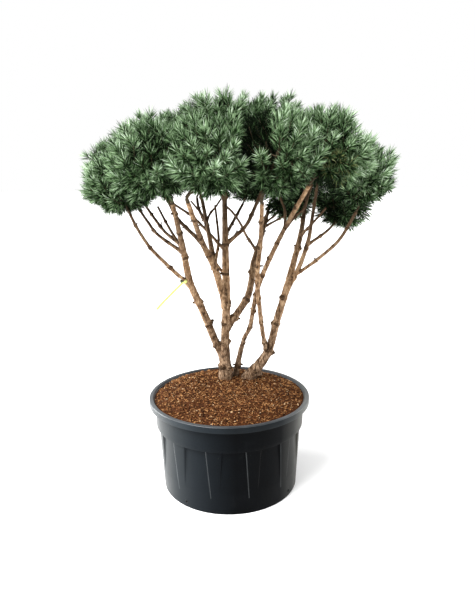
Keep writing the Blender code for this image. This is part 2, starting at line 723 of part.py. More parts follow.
def build_label(plans, group, material):
    """A ring round the bough, near the bough's root, with a long flat strap on it."""
    route, radii = plans["bough_left_low"]
    along = (route[1] - route[0]).normalized()
    middle = route[0] + along * TAG_ALONG_BOUGH
    turn = Vector((0, 0, 1)).rotation_difference(along).to_matrix().to_4x4()
    bm = bmesh.new()
    bmesh.ops.create_cone(bm, cap_ends=True, segments=TAG_LOOP_SIDES, radius1=TAG_LOOP_RADIUS,
                          radius2=TAG_LOOP_RADIUS, depth=TAG_LOOP_DEPTH,
                          matrix=Matrix.Translation(middle) @ turn)
    label = add_object("label", mesh_from_bmesh("label", bm), group, material)
    away = (TAG_POINTS_TO - middle).normalized()
    start = middle + (away - along * away.dot(along)).normalized() * TAG_STARTS_AT_RADIUS
    flat = away.cross(along).normalized()
    across = flat.cross(away).normalized()
    axes = Matrix((away, across, flat)).transposed().to_4x4()
    centre = start + away * TAG_LENGTH / 2
    bm = bmesh.new()
    bmesh.ops.create_cube(bm, size=1.0, matrix=Matrix.Translation(centre) @ axes
                          @ Matrix.Diagonal((TAG_LENGTH, TAG_WIDTH, TAG_THICKNESS, 1.0)))
    strap = add_object("strap", mesh_from_bmesh("strap", bm), group)
    apply_boolean(label, [strap], "UNION")
    hole_radius = radii[0] + GAP + TAG_LOOP_PLAY
    hole = tube("label_hole", [middle - along * TAG_LENGTH / 4, middle + along * TAG_LENGTH / 4],
                [hole_radius, hole_radius], group)
    apply_boolean(label, [hole], "DIFFERENCE")
    label.data.materials.clear()
    label.data.materials.append(material)
    return label


def shade(thing):
    thing.data.shade_smooth()
    thing.data.set_sharp_from_angle(angle=math.radians(SHARP_DEG))


def main():
    clear_scene()
    group = make_collection("potted_pine")
    materials = {name: make_material(name) for name in COLOURS}
    tub = build_tub(group, materials["tub"])
    shade(tub)
    shade(build_soil(group, materials["soil"]))
    plans = build_limbs(group, materials["bark"])
    build_label(plans, group, materials["label"])
    for number, name in enumerate(MASSES):
        build_mass(name, number, plans, group, materials["needles"])
    total = 0
    for thing in group.objects:
        thing.data.calc_loop_triangles()
        total += len(thing.data.loop_triangles)
    print("objects", len(group.objects), "triangles", total)


main()
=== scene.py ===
# %% [markdown]
# # A potted umbrella pine
#
# This lesson dresses a plain model of a pine in a nursery tub. The plain model is the fixed frame:
# it says where the tub, the soil, each limb and each mass of foliage is, and nothing here moves it.
# Each cell below makes one piece of the real plant at its real size, in metres, with +Z up.

# %% Load the frame
import json
import math
import random

import bpy
import numpy as np
from mathutils import Matrix, Quaternion, Vector, noise

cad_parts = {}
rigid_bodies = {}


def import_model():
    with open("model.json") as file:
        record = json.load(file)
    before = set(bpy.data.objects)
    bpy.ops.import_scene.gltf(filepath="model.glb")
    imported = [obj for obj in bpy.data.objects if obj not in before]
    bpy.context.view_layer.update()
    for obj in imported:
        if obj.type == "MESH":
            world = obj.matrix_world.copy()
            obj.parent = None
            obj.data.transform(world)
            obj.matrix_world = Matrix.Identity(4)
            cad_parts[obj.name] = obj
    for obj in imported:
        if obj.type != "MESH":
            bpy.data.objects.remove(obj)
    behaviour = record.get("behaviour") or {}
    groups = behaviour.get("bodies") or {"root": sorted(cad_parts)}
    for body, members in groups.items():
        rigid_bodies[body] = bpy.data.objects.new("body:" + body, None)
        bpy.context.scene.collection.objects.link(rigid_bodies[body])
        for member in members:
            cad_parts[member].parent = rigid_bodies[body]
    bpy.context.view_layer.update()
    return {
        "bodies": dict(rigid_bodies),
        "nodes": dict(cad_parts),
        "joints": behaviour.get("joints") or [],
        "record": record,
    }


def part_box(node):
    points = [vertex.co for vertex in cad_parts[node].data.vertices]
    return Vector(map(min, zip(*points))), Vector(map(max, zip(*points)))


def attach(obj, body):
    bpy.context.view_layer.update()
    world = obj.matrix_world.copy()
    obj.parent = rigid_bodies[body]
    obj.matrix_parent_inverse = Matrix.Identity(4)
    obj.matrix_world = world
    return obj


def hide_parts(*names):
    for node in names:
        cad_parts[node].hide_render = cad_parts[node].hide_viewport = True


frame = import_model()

scene = bpy.context.scene

# %% [markdown]
# ## The camera
#
# The photograph was taken from a little below the top of the crown, looking slightly down. A camera
# is four numbers here: how far away it stands, how high, what height it aims at and how long its lens
# is. They come from the tub, because a rim is a circle, and how flat its ellipse looks gives the
# height. The small roll is the camera's own lean.

# %% Camera
CAMERA_PLACE = Vector((0.046, -2.70, 1.567))
CAMERA_AIM_HEIGHT = 0.9465
CAMERA_ROLL_DEG = -0.577
CAMERA_LENS = 34.26
CAMERA_SENSOR = 36.0


def make_camera():
    """The camera aims at the plant's middle line and is rolled about its own view."""
    ahead = (Vector((CAMERA_PLACE.x, 0.0, CAMERA_AIM_HEIGHT)) - CAMERA_PLACE).normalized()
    level_right = Vector((1.0, 0.0, 0.0))
    level_up = level_right.cross(ahead)
    roll = math.radians(CAMERA_ROLL_DEG)
    right = level_right * math.cos(roll) + level_up * math.sin(roll)
    up = level_up * math.cos(roll) - level_right * math.sin(roll)
    camera = bpy.data.objects.new("camera", bpy.data.cameras.new("camera"))
    camera.data.lens = CAMERA_LENS
    camera.data.sensor_width = CAMERA_SENSOR
    camera.matrix_world = Matrix((right, up, -ahead)).transposed().to_4x4()
    camera.location = CAMERA_PLACE
    scene.collection.objects.link(camera)
    scene.camera = camera


make_camera()
print("camera", round(CAMERA_PLACE.length, 2), "m from the tub's foot")

# %% [markdown]
# ## Light and floor
#
# The plant stands in a white studio. A white surround lights it from all sides. A large soft sun from
# the upper left and the front gives stems and needles a lit side and a darker one. Soft lamps on both
# sides and a little behind draw a grey sheen down the black tub, a strong one on its left and a weak
# one on its right, and a painted sheen in the tub's colour adds to it. The floor is so bright that it and the
# surround are one white.

# %% Light and floor
SURROUND_STRENGTH = 1.0
KEY_STRENGTH = 5.8
KEY_FROM = Vector((-0.80, -0.68, 1.15))
KEY_SOFTNESS_DEG = 36
# Each soft lamp's place, size and watts. Both look at the tub
SOFT_LAMPS = {"lamp_left": ((-2.4, 0.5, 0.9), (1.3, 1.6), 120),
              "lamp_right": ((2.5, 0.6, 0.9), (1.0, 1.6), 34)}
SOFT_LAMP_AIM = (0.0, 0.0, 0.4)
FLOOR_SIZE = 60.0
WHITE = (1.0, 1.0, 1.0, 1.0)


def add_lamp(name, kind, watts, place, aim):
    """A lamp at a place that looks at another. A sun's watts are for each square metre."""
    light = bpy.data.lights.new(name, kind)
    light.energy = watts
    lamp = bpy.data.objects.new(name, light)
    lamp.location = place
    lamp.rotation_mode = "QUATERNION"
    lamp.rotation_quaternion = (Vector(aim) - Vector(place)).to_track_quat("-Z", "Y")
    scene.collection.objects.link(lamp)
    return light


def plain_material(name, colour, roughness=0.8):
    material = bpy.data.materials.new(name)
    material.use_nodes = True
    shader = material.node_tree.nodes["Principled BSDF"]
    shader.inputs["Base Color"].default_value = (*colour, 1.0)
    shader.inputs["Roughness"].default_value = roughness
    return material


def make_stage():
    world = bpy.data.worlds.new("studio")
    world.use_nodes = True
    surround = world.node_tree.nodes["Background"]
    surround.inputs["Color"].default_value = WHITE
    surround.inputs["Strength"].default_value = SURROUND_STRENGTH
    scene.world = world
    bpy.ops.mesh.primitive_plane_add(size=FLOOR_SIZE, location=(0.0, 10.0, -0.0005))
    floor = bpy.context.object
    floor.name = "floor"
    floor.data.materials.append(plain_material("floor", (0.93, 0.93, 0.93), 0.9))
    sun = add_lamp("lamp_key", "SUN", KEY_STRENGTH, KEY_FROM * 3, (0.0, 0.0, 0.0))
    sun.angle = math.radians(KEY_SOFTNESS_DEG)
    for name, (place, size, watts) in SOFT_LAMPS.items():
        lamp = add_lamp(name, "AREA", watts, place, SOFT_LAMP_AIM)
        lamp.shape = "RECTANGLE"
        lamp.size, lamp.size_y = size


make_stage()
scene.view_settings.view_transform = "Standard"

# %% [markdown]
# ## Helpers
#
# The pieces below are grids of points that are worked out by a formula: a moulded tub, a limb with
# bark, a thousand needles. Filling a mesh from arrays is far quicker than adding faces one by one.
# Real surfaces are never one even colour, so most materials here are a ramp of near colours over
# noise, with a slight bump from the same noise. A material's nodes could be placed and linked one by
# one; a helper that fills a node's inputs in one go, with values or with other nodes' outputs, keeps
# each finish short enough to read.

# %% Mesh helpers
def mesh_from_arrays(name, points, corners, material_of_face=None, smooth=True):
    """A mesh from an array of points and an array of faces that all have as many corners."""
    points = np.asarray(points, dtype=np.float32)
    corners = np.asarray(corners, dtype=np.int32)
    faces, sides = corners.shape
    mesh = bpy.data.meshes.new(name)
    mesh.vertices.add(len(points))
    mesh.vertices.foreach_set("co", points.ravel())
    mesh.loops.add(faces * sides)
    mesh.loops.foreach_set("vertex_index", corners.ravel())
    mesh.polygons.add(faces)
    mesh.polygons.foreach_set("loop_start", np.arange(0, faces * sides, sides, dtype=np.int32))
    if material_of_face is not None:
        mesh.polygons.foreach_set("material_index", np.asarray(material_of_face, dtype=np.int32))
    mesh.polygons.foreach_set("use_smooth", np.full(faces, smooth))
    mesh.update(calc_edges=True)
    return mesh


def add_piece(name, mesh, materials, replaces=()):
    """Put a finished mesh in the scene as a piece of the plant."""
    piece = bpy.data.objects.new(name, mesh)
    for material in materials:
        mesh.materials.append(material)
    scene.collection.objects.link(piece)
    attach(piece, "root")
    if replaces:
        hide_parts(*replaces)
    return piece


def ring_faces(rows, around, first=0):
    """The four-cornered faces between rows of points that each close into a ring."""
    row = np.arange(rows - 1)[:, None] * around
    step = np.arange(around)[None, :]
    following = (step + 1) % around
    faces = np.stack([row + step, row + following, row + around + following, row + around + step], axis=-1)
    return faces.reshape(-1, 4) + first


# %% Material helpers
def fill_inputs(material, node, inputs):
    """Give each named input of a node its value, or link it to another node's output."""
    for socket, value in inputs.items():
        if isinstance(value, bpy.types.NodeSocket):
            material.node_tree.links.new(value, node.inputs[socket])
        else:
            node.inputs[socket].default_value = value


def add_node(material, kind, inputs):
    node = material.node_tree.nodes.new("ShaderNode" + kind)
    fill_inputs(material, node, inputs)
    return node


def fill_shader(material, inputs):
    fill_inputs(material, material.node_tree.nodes["Principled BSDF"], inputs)
    return material


def place_on(material):
    """Where on the object a point is."""
    return add_node(material, "TexCoord", {}).outputs["Object"]


def noise_over(material, place, scale, detail, roughness=0.6):
    inputs = {"Vector": place, "Scale": scale, "Detail": detail, "Roughness": roughness}
    return add_node(material, "TexNoise", inputs).outputs["Fac"]


def colour_ramp(material, share, stops):
    """A colour read off a ramp of (position, colour) stops."""
    node = add_node(material, "ValToRGB", {"Fac": share})
    ramp = node.color_ramp
    while len(ramp.elements) < len(stops):
        ramp.elements.new(0.5)
    for element, (position, colour) in zip(ramp.elements, stops):
        element.position = position
        element.color = (*colour, 1.0)
    return node.outputs["Color"]


def share_between(material, value, low, high, share_at_low=0.0, share_at_high=1.0):
    """A share that changes evenly while a value runs from low to high."""
    inputs = {"Value": value, "From Min": low, "From Max": high,
              "To Min": share_at_low, "To Max": share_at_high}
    return add_node(material, "MapRange", inputs).outputs["Result"]


def mix_colours(material, share, first, second, blend="MIX"):
    node = material.node_tree.nodes.new("ShaderNodeMix")
    node.data_type = "RGBA"
    node.blend_type = blend
    fill_inputs(material, node, {"Factor": share, "A": first, "B": second})
    return node.outputs["Result"]


def combine_shares(material, operation, first, second):
    node = add_node(material, "Math", {0: first, 1: second})
    node.operation = operation
    return node.outputs["Value"]


def bump_from(material, height, strength, distance):
    inputs = {"Height": height, "Strength": strength, "Distance": distance}
    return add_node(material, "Bump", inputs).outputs["Normal"]


def mottled_material(name, dark, light, roughness, scale, bump_height, shine=0.10):
    """Two colours mixed by noise, with a bump from the same noise."""
    material = plain_material(name, light, roughness)
    grain = noise_over(material, place_on(material), scale, 5.0)
    return fill_shader(material, {"Specular IOR Level": shine,
                                  "Base Color": colour_ramp(material, grain, [(0.32, dark), (0.66, light)]),
                                  "Normal": bump_from(material, grain, 0.6, bump_height)})


print("helpers ready")

# %% [markdown]
# ## The tub
#
# A nursery tub is moulded in one shot: a rolled rim that hands can grip, a smooth band under it, and a
# thinner wall below that is stiffened by twelve ribs. The ribs are what is left between sunk panels:
# each panel is deepest and narrowest under the band, widens downwards and runs out before the foot,
# so that the rib seems to taper to a point. It could be a turned profile with twelve cuts in it. A
# grid is used in its place, with columns that follow the panels' edges, so the edges stay crisp.
#
# The plastic is black, and dust gives it a bloom. The grey sheen on both sides, the pale lip and a light
# line along one edge of each rib are painted reflections and highlights in the colour. The finish is noise
# between near blacks, with the painted sheen of the sides added across the tub's width.

# %% Tub sizes
TUB_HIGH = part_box("tub")[1]
RIM_RADIUS = TUB_HIGH.x
RIM_HEIGHT = TUB_HIGH.z
RIM_LIP = 0.020
RIM_ROUND = 0.006
COLLAR_DEPTH = 0.031
BAND_TOP_RADIUS = 0.372
BAND_FOOT_RADIUS = 0.368
BAND_FOOT_HEIGHT = 0.326
WALL_TOP_RADIUS = 0.356
WALL_TOP_HEIGHT = 0.324
FOOT_RADIUS = 0.338
FOOT_HEIGHT = 0.004
SOIL_EDGE = 0.455
PANEL_TOP_HEIGHT = 0.3225
PANEL_LOW_HEIGHT = 0.085
print("rim radius", round(RIM_RADIUS, 4), "rim height", round(RIM_HEIGHT, 4))


# %% Tub profile
WALL_ROWS = 62


def tub_profile():
    """(radius, height) from the inner wall at the soil, over the rim and down to the foot."""
    lip_inner = RIM_RADIUS - RIM_LIP
    neck = lip_inner - RIM_ROUND
    top = RIM_HEIGHT - RIM_ROUND
    low = RIM_HEIGHT - COLLAR_DEPTH
    points = [(neck - 0.013, SOIL_EDGE - 0.035), (neck - 0.001, RIM_HEIGHT - 0.010)]
    for step in range(7):
        angle = math.pi / 2 * step / 6
        points.append((lip_inner + 0.004 - RIM_ROUND * math.cos(angle), top + RIM_ROUND * math.sin(angle)))
    for step in range(9):
        angle = math.pi / 2 * step / 8
        points.append((RIM_RADIUS - RIM_ROUND + RIM_ROUND * math.sin(angle),
                       top + RIM_ROUND * math.cos(angle)))
    points += [(RIM_RADIUS, low + 0.003), (RIM_RADIUS - 0.0008, low + 0.0008), (RIM_RADIUS - 0.003, low),
               (BAND_TOP_RADIUS + 0.007, low), (BAND_TOP_RADIUS + 0.002, low - 0.0015),
               (BAND_TOP_RADIUS, low - 0.006)]
    for step in range(1, 7):
        share = step / 7
        points.append((BAND_TOP_RADIUS + (BAND_FOOT_RADIUS - BAND_TOP_RADIUS) * share,
                       low - 0.006 + (BAND_FOOT_HEIGHT + 0.012 - low) * share))
    points += [(BAND_FOOT_RADIUS, BAND_FOOT_HEIGHT + 0.004),
               (BAND_FOOT_RADIUS - 0.001, BAND_FOOT_HEIGHT + 0.0012),
               (BAND_FOOT_RADIUS - 0.004, BAND_FOOT_HEIGHT), (WALL_TOP_RADIUS, WALL_TOP_HEIGHT),
               (WALL_TOP_RADIUS, PANEL_TOP_HEIGHT + 0.0002), (WALL_TOP_RADIUS, PANEL_TOP_HEIGHT - 0.0002)]
    for step in range(1, WALL_ROWS):
        share = step / WALL_ROWS
        points.append((WALL_TOP_RADIUS + (FOOT_RADIUS - WALL_TOP_RADIUS) * share,
                       PANEL_TOP_HEIGHT + (FOOT_HEIGHT - PANEL_TOP_HEIGHT) * share))
    points += [(FOOT_RADIUS, FOOT_HEIGHT), (FOOT_RADIUS - 0.0012, 0.0012), (FOOT_RADIUS - 0.004, 0.0),
               (FOOT_RADIUS - 0.06, 0.0), (0.10, 0.0), (0.002, 0.0)]
    return np.array(points)


print("points from the soil to the foot", len(tub_profile()))

# %% Panels and ribs
PANEL_COUNT = 12
PANEL_FIRST_DEG = 3.5
PANEL_ANGLE_TOP_DEG = 16.6
PANEL_ANGLE_LOW_DEG = 22.0
PANEL_DEPTH_TOP = 0.012
PANEL_DEPTH_LOW = -0.0015
# Columns from a panel's middle to the middle of its rib: share of the panel's half, degrees past
# that edge, and how sunk the column is
PANEL_COLUMNS = ((0.0, 0.0, 1.0), (0.35, 0.0, 1.0), (0.70, 0.0, 1.0), (1.0, -0.50, 1.0), (1.0, -0.12, 0.95),
                 (1.0, 0.04, 0.78), (1.0, 0.22, 0.40), (1.0, 0.48, 0.15), (1.0, 0.82, 0.03), (1.0, 1.25, 0.0))
RIB_COLUMNS = 3
# An edge's columns get a painted highlight line where they are sunk less than this
EDGE_HIGHLIGHT_BELOW = 0.3


def panel_grid(height):
    """Each column's bearing in degrees and depth at every row's height, and whether it gets an edge's painted
    highlight.
    """
    low_share = (PANEL_TOP_HEIGHT - height) / (PANEL_TOP_HEIGHT - PANEL_LOW_HEIGHT)
    spread = np.clip(low_share, 0.0, 1.0)
    half = (PANEL_ANGLE_TOP_DEG + (PANEL_ANGLE_LOW_DEG - PANEL_ANGLE_TOP_DEG) * spread) / 2
    depth = np.maximum(0.0, PANEL_DEPTH_TOP + (PANEL_DEPTH_LOW - PANEL_DEPTH_TOP) * spread)
    depth = np.where(low_share > 0, depth, 0.0)
    rib_middle = 180.0 / PANEL_COUNT
    offsets = [half * share + past for share, past, _ in PANEL_COLUMNS]
    sunk = [share for _, _, share in PANEL_COLUMNS]
    edge = offsets[-1]
    for step in range(1, RIB_COLUMNS + 1):
        offsets.append(edge + (rib_middle - edge) * step / RIB_COLUMNS)
        sunk.append(0.0)
    mirrored = [-offset for offset in offsets[-2:0:-1]] + offsets
    mirrored_sunk = sunk[-2:0:-1] + sunk
    bearings, depths, edge_highlight = [], [], []
    for number in range(PANEL_COUNT):
        middle = PANEL_FIRST_DEG + number * 360.0 / PANEL_COUNT
        for column, (offset, share) in enumerate(zip(mirrored, mirrored_sunk)):
            bearings.append(middle + offset)
            depths.append(depth * share)
            edge_highlight.append(column > len(offsets) and 0 < share < EDGE_HIGHLIGHT_BELOW)
    return np.stack(bearings, axis=1), np.stack(depths, axis=1), np.array(edge_highlight)


print("ribs", PANEL_COUNT, "with", 2 * (len(PANEL_COLUMNS) + RIB_COLUMNS - 1), "columns each")

# %% Tub mesh
# Rows of the profile that make the lip's top, painted pale as a highlight of the lit rim, and the collar's
# face
LIP_ROWS = (1, 15)
COLLAR_ROWS = (15, 19)
SHARP_FROM_DEG = 40


def make_tub(materials):
    """The profile turned round the tub's middle line, with the panels sunk in it."""
    profile = tub_profile()
    bearing, depth, edge_highlight = panel_grid(profile[:, 1])
    outside = (profile[:, 0] > FOOT_RADIUS - 0.002) & (profile[:, 1] < PANEL_TOP_HEIGHT)
    radius = profile[:, :1] - depth * outside[:, None]
    angle = np.radians(bearing)
    height = np.repeat(profile[:, 1:], angle.shape[1], axis=1)
    points = np.stack([radius * np.sin(angle), -radius * np.cos(angle), height], axis=-1).reshape(-1, 3)
    colours = np.zeros((len(profile) - 1, angle.shape[1]), dtype=int)
    colours[slice(*LIP_ROWS)] = 1
    colours[slice(*COLLAR_ROWS)] = 2
    sunk_rows = outside[:-1] & (profile[:-1, 1] > PANEL_LOW_HEIGHT)
    # One edge of each rib gets the painted highlight finish
    colours[sunk_rows[:, None] & edge_highlight] = 3
    mesh = mesh_from_arrays("tub", points, ring_faces(*angle.shape)[:, ::-1], colours.ravel())
    mesh.set_sharp_from_angle(angle=math.radians(SHARP_FROM_DEG))
    return add_piece("tub_moulding", mesh, materials, ["tub"])


# %% Tub finish
# Across the tub from its left to its right side: share of the width, and how much grey is added, a painted
# sheen for the side lamps' reflection
PAINTED_SIDE_SHEEN = ((0.04, (0.050, 0.053, 0.053)), (0.11, (0.036, 0.039, 0.040)), (0.19, (0.017, 0.020, 0.022)),
          (0.30, (0.008, 0.010, 0.012)), (0.42, (0.003, 0.004, 0.005)), (0.54, (0.0, 0.0, 0.0)),
          (0.80, (0.0, 0.0, 0.0)), (0.88, (0.020, 0.020, 0.018)), (0.95, (0.075, 0.074, 0.064)))
# The painted sheen fades to this share between these two depths, from the front towards the back
PAINTED_SHEEN_AT_BACK = 0.25
PAINTED_SHEEN_FADES = (-0.10, 0.12)
# A finish's darkest, middle and lightest colour, how strongly it mirrors and its share of the painted sheen
TUB_FINISHES = {
    "tub_plastic": ((0.0002, 0.0004, 0.0007), (0.0005, 0.0009, 0.0014), (0.0040, 0.0046, 0.0050), 1.11, 1.0),
    # The lip's paler colour is a painted highlight of the lit rim
    "tub_lip_painted_highlight": ((0.022, 0.025, 0.028), (0.038, 0.042, 0.046), (0.070, 0.074, 0.078), 1.34, 0.6),
    "tub_collar": ((0.0030, 0.0046, 0.0060), (0.0050, 0.0072, 0.0092), (0.012, 0.015, 0.017), 1.16, 1.0),
    # A painted highlight line along one edge of each rib
    "tub_edge_painted_highlight": ((0.0080, 0.0092, 0.0098), (0.019, 0.021, 0.022), (0.038, 0.040, 0.041), 1.20, 1.0),
}


def tub_material(name, dark, middle, light, ior, painted_sheen_share):
    """Black plastic with a dusty bloom, and a painted grey sheen on its sides, less of it at the back."""
    material = plain_material(name, middle, 0.34)
    place = place_on(material)
    axes = add_node(material, "SeparateXYZ", {"Vector": place}).outputs
    dust = noise_over(material, place, 9.0, 6.0)
    fresh = colour_ramp(material, dust, [(0.35, dark), (0.62, middle), (0.85, light)])
    # Painted sheen: grey added across the tub's width, standing in for the side lamps' reflection
    painted_sheen = colour_ramp(material, share_between(material, axes["X"], -RIM_RADIUS, RIM_RADIUS), PAINTED_SIDE_SHEEN)
    painted_sheen_back_share = painted_sheen_share * PAINTED_SHEEN_AT_BACK
    painted_sheen_weight = share_between(material, axes["Y"], *PAINTED_SHEEN_FADES, painted_sheen_share, painted_sheen_back_share)
    gloss = colour_ramp(material, dust, [(0.3, (0.28,) * 3), (0.75, (0.42,) * 3)])
    grain = noise_over(material, place, 420.0, 2.0)
    return fill_shader(material, {"IOR": ior, "Roughness": gloss,
                                  "Base Color": mix_colours(material, painted_sheen_weight, fresh, painted_sheen, "ADD"),
                                  "Normal": bump_from(material, grain, 0.06, 0.001)})


tub = make_tub([tub_material(name, *finish) for name, finish in TUB_FINISHES.items()])
print("tub points", len(tub.data.vertices))

# %% [markdown]
# ## The drain holes
#
# Water leaves through small round holes just above the floor. Each is a moulded collar set on the
# wall, with no hole cut: its mouth is a flat disc painted near black, painted shade for the hole.

# %% Drain holes
DRAIN_BEARINGS_DEG = (-37.0, 57.0, 143.0, -123.0)
DRAIN_HEIGHT = 0.030
DRAIN_SIDES = 20
# (radius, how far it stands out) from the collar's edge over its crest and into the mouth
DRAIN_PROFILE = ((0.0085, -0.0010), (0.0083, 0.0008), (0.0076, 0.0012), (0.0064, 0.0012), (0.0058, 0.0006),
                 (0.0056, 0.0002), (0.0004, 0.0002))
DRAIN_MOUTH_FROM = 4


def make_drains(materials):
    wall = FOOT_RADIUS + (WALL_TOP_RADIUS - FOOT_RADIUS) * DRAIN_HEIGHT / PANEL_TOP_HEIGHT
    turns = (np.arange(DRAIN_SIDES) * math.tau / DRAIN_SIDES)[:, None]
    up = np.array([0.0, 0.0, 1.0])
    points, faces, colours = [], [], []
    for bearing in DRAIN_BEARINGS_DEG:
        angle = math.radians(bearing)
        out = np.array([math.sin(angle), -math.cos(angle), 0.0])
        side = np.array([math.cos(angle), math.sin(angle), 0.0])
        middle = out * wall + up * DRAIN_HEIGHT
        first = len(points) * DRAIN_SIDES
        for radius, height in DRAIN_PROFILE:
            ring = side * np.cos(turns) * radius + up * np.sin(turns) * radius
            points.append(ring + middle + out * height)
        faces.append(ring_faces(len(DRAIN_PROFILE), DRAIN_SIDES, first))
        colours += [int(row >= DRAIN_MOUTH_FROM) for row in range(len(DRAIN_PROFILE) - 1) for _ in turns]
    mesh = mesh_from_arrays("drains", np.concatenate(points), np.concatenate(faces), colours)
    return add_piece("tub_drains", mesh, materials)


# The mouth's near black is painted shade for the inside of the hole
DRAIN_FINISHES = {"drain_collar": ((0.010, 0.011, 0.012), (0.022, 0.023, 0.024), 0.45, 90.0, 0.0004),
                  "drain_mouth_painted_shade": ((0.0006, 0.0006, 0.0007), (0.0014, 0.0014, 0.0015), 0.9, 90.0, 0.0004)}
make_drains([mottled_material(name, *finish) for name, finish in DRAIN_FINISHES.items()])
print("drain holes", len(DRAIN_BEARINGS_DEG))

# %% [markdown]
# ## The soil
#
# The tub is filled with brown coir and shredded bark, heaped a little where the stems stand. A turned
# top with lumps worked out from noise gives the ground, and thousands of flat chips and fibres that
# lie on it at all slants give the grit, with dark gaps between pale flakes.

# %% Ground
SOIL_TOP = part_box("soil")[1].z
SOIL_FLAT_RADIUS = 0.235
SOIL_SHOULDER_RADIUS = 0.310
SOIL_SHOULDER_HEIGHT = 0.476
SOIL_RADIUS = 0.373
SOIL_RINGS = 100
SOIL_AROUND = 360
# Lumps, clods and grit, as (how many to the metre, which slice of the noise, height)
SOIL_LUMPS = ((20, 0.3, 0.0060), (55, 1.7, 0.0045), (150, 4.1, 0.0028))


def soil_height(x, y):
    """The ground's height at a place: the turned heap and its lumps."""
    base = np.interp(math.hypot(x, y), (SOIL_FLAT_RADIUS, SOIL_SHOULDER_RADIUS, SOIL_RADIUS),
                     (SOIL_TOP, SOIL_SHOULDER_HEIGHT, SOIL_EDGE))
    return base + sum(noise.noise((x * density, y * density, layer)) * height
                      for density, layer, height in SOIL_LUMPS)


def make_soil(material):
    radii = SOIL_RADIUS * np.sqrt(np.linspace(0.00002, 1.0, SOIL_RINGS))
    angles = np.arange(SOIL_AROUND) * math.tau / SOIL_AROUND
    points = [(radius * math.sin(angle), -radius * math.cos(angle)) for radius in radii for angle in angles]
    points = [(x, y, soil_height(x, y)) for x, y in points]
    mesh = mesh_from_arrays("soil", points, ring_faces(SOIL_RINGS, SOIL_AROUND)[:, ::-1])
    return add_piece("soil_ground", mesh, [material], ["soil"])


make_soil(mottled_material("compost", (0.008, 0.003, 0.001), (0.080, 0.026, 0.007), 0.95, 150.0, 0.003))
print("soil top", round(SOIL_TOP, 3))

# %% Chips and fibres
CHIP_COUNT = 7200
FIBRE_SHARE = 0.42
# A chip's darker and lighter colour, and the share of the chips that have it
CHIP_FINISHES = (((0.105, 0.038, 0.011), (0.190, 0.078, 0.026), 0.32),
                 ((0.036, 0.012, 0.004), (0.080, 0.027, 0.009), 0.21),
                 ((0.210, 0.094, 0.033), (0.340, 0.175, 0.070), 0.31),
                 ((0.007, 0.003, 0.001), (0.018, 0.006, 0.002), 0.13),
                 ((0.320, 0.200, 0.100), (0.460, 0.330, 0.200), 0.03))


def make_chips(materials):
    """Bark chips and coir fibres: bent flakes of six points and eight faces."""
    dice = np.random.default_rng(5)
    angle = dice.uniform(0, math.tau, CHIP_COUNT)
    radius = SOIL_RADIUS * 0.98 * np.sqrt(dice.uniform(0, 1, CHIP_COUNT))
    place = np.stack([radius * np.sin(angle), -radius * np.cos(angle)], axis=-1)
    height = np.array([soil_height(x, y) for x, y in place])
    fibre = dice.uniform(0, 1, CHIP_COUNT) < FIBRE_SHARE
    length = np.where(fibre, dice.uniform(0.012, 0.034, CHIP_COUNT), dice.uniform(0.006, 0.020, CHIP_COUNT))
    width = np.where(fibre, dice.uniform(0.0010, 0.0022, CHIP_COUNT), dice.uniform(0.003, 0.009, CHIP_COUNT))
    turn = dice.uniform(0, math.tau, CHIP_COUNT)
    tilt = dice.normal(0, 0.34, CHIP_COUNT)
    along = np.stack([np.cos(turn) * np.cos(tilt), np.sin(turn) * np.cos(tilt), np.sin(tilt)], axis=-1)
    side = np.stack([-np.sin(turn), np.cos(turn), dice.normal(0, 0.35, CHIP_COUNT)], axis=-1)
    middle = np.stack([place[:, 0], place[:, 1], height + dice.uniform(0.0005, 0.0050, CHIP_COUNT)], axis=-1)
    hump = np.array([0, 0, 1.0]) * (width * 0.30 + 0.0006)[:, None]
    half_long = along * length[:, None] / 2
    half_wide = side * width[:, None] / 2
    points = np.stack([middle - half_long, middle - half_wide, middle + half_long, middle + half_wide,
                       middle + hump, middle - hump * 0.6], axis=1).reshape(-1, 3)
    shape = np.array([[0, 1, 4], [1, 2, 4], [2, 3, 4], [3, 0, 4], [1, 0, 5], [2, 1, 5], [3, 2, 5], [0, 3, 5]])
    corners = (np.arange(CHIP_COUNT)[:, None, None] * 6 + shape[None]).reshape(-1, 3)
    colour = dice.choice(len(CHIP_FINISHES), CHIP_COUNT, p=[share for _, _, share in CHIP_FINISHES])
    mesh = mesh_from_arrays("chips", points, corners, np.repeat(colour, len(shape)), smooth=False)
    return add_piece("soil_chips", mesh, materials)


make_chips([mottled_material(f"chip_{number}", dark, light, 0.92, 220.0, 0.0008)
            for number, (dark, light, _) in enumerate(CHIP_FINISHES)])
print("chips and fibres", CHIP_COUNT)

# %% [markdown]
# ## The limbs
#
# A pine's stem is thickest at the soil, flares into its roots, thins at each fork and carries a ring of
# old knots where each year's side shoots were. Each limb is a row in a table: what it grows from, the
# places it passes and how thick it is at both ends. A smooth curve runs through the places. The
# rule is the one that the plain model follows, so the bark lies where the plain limb is. The last
# table has twigs that are too thin for the plain model.

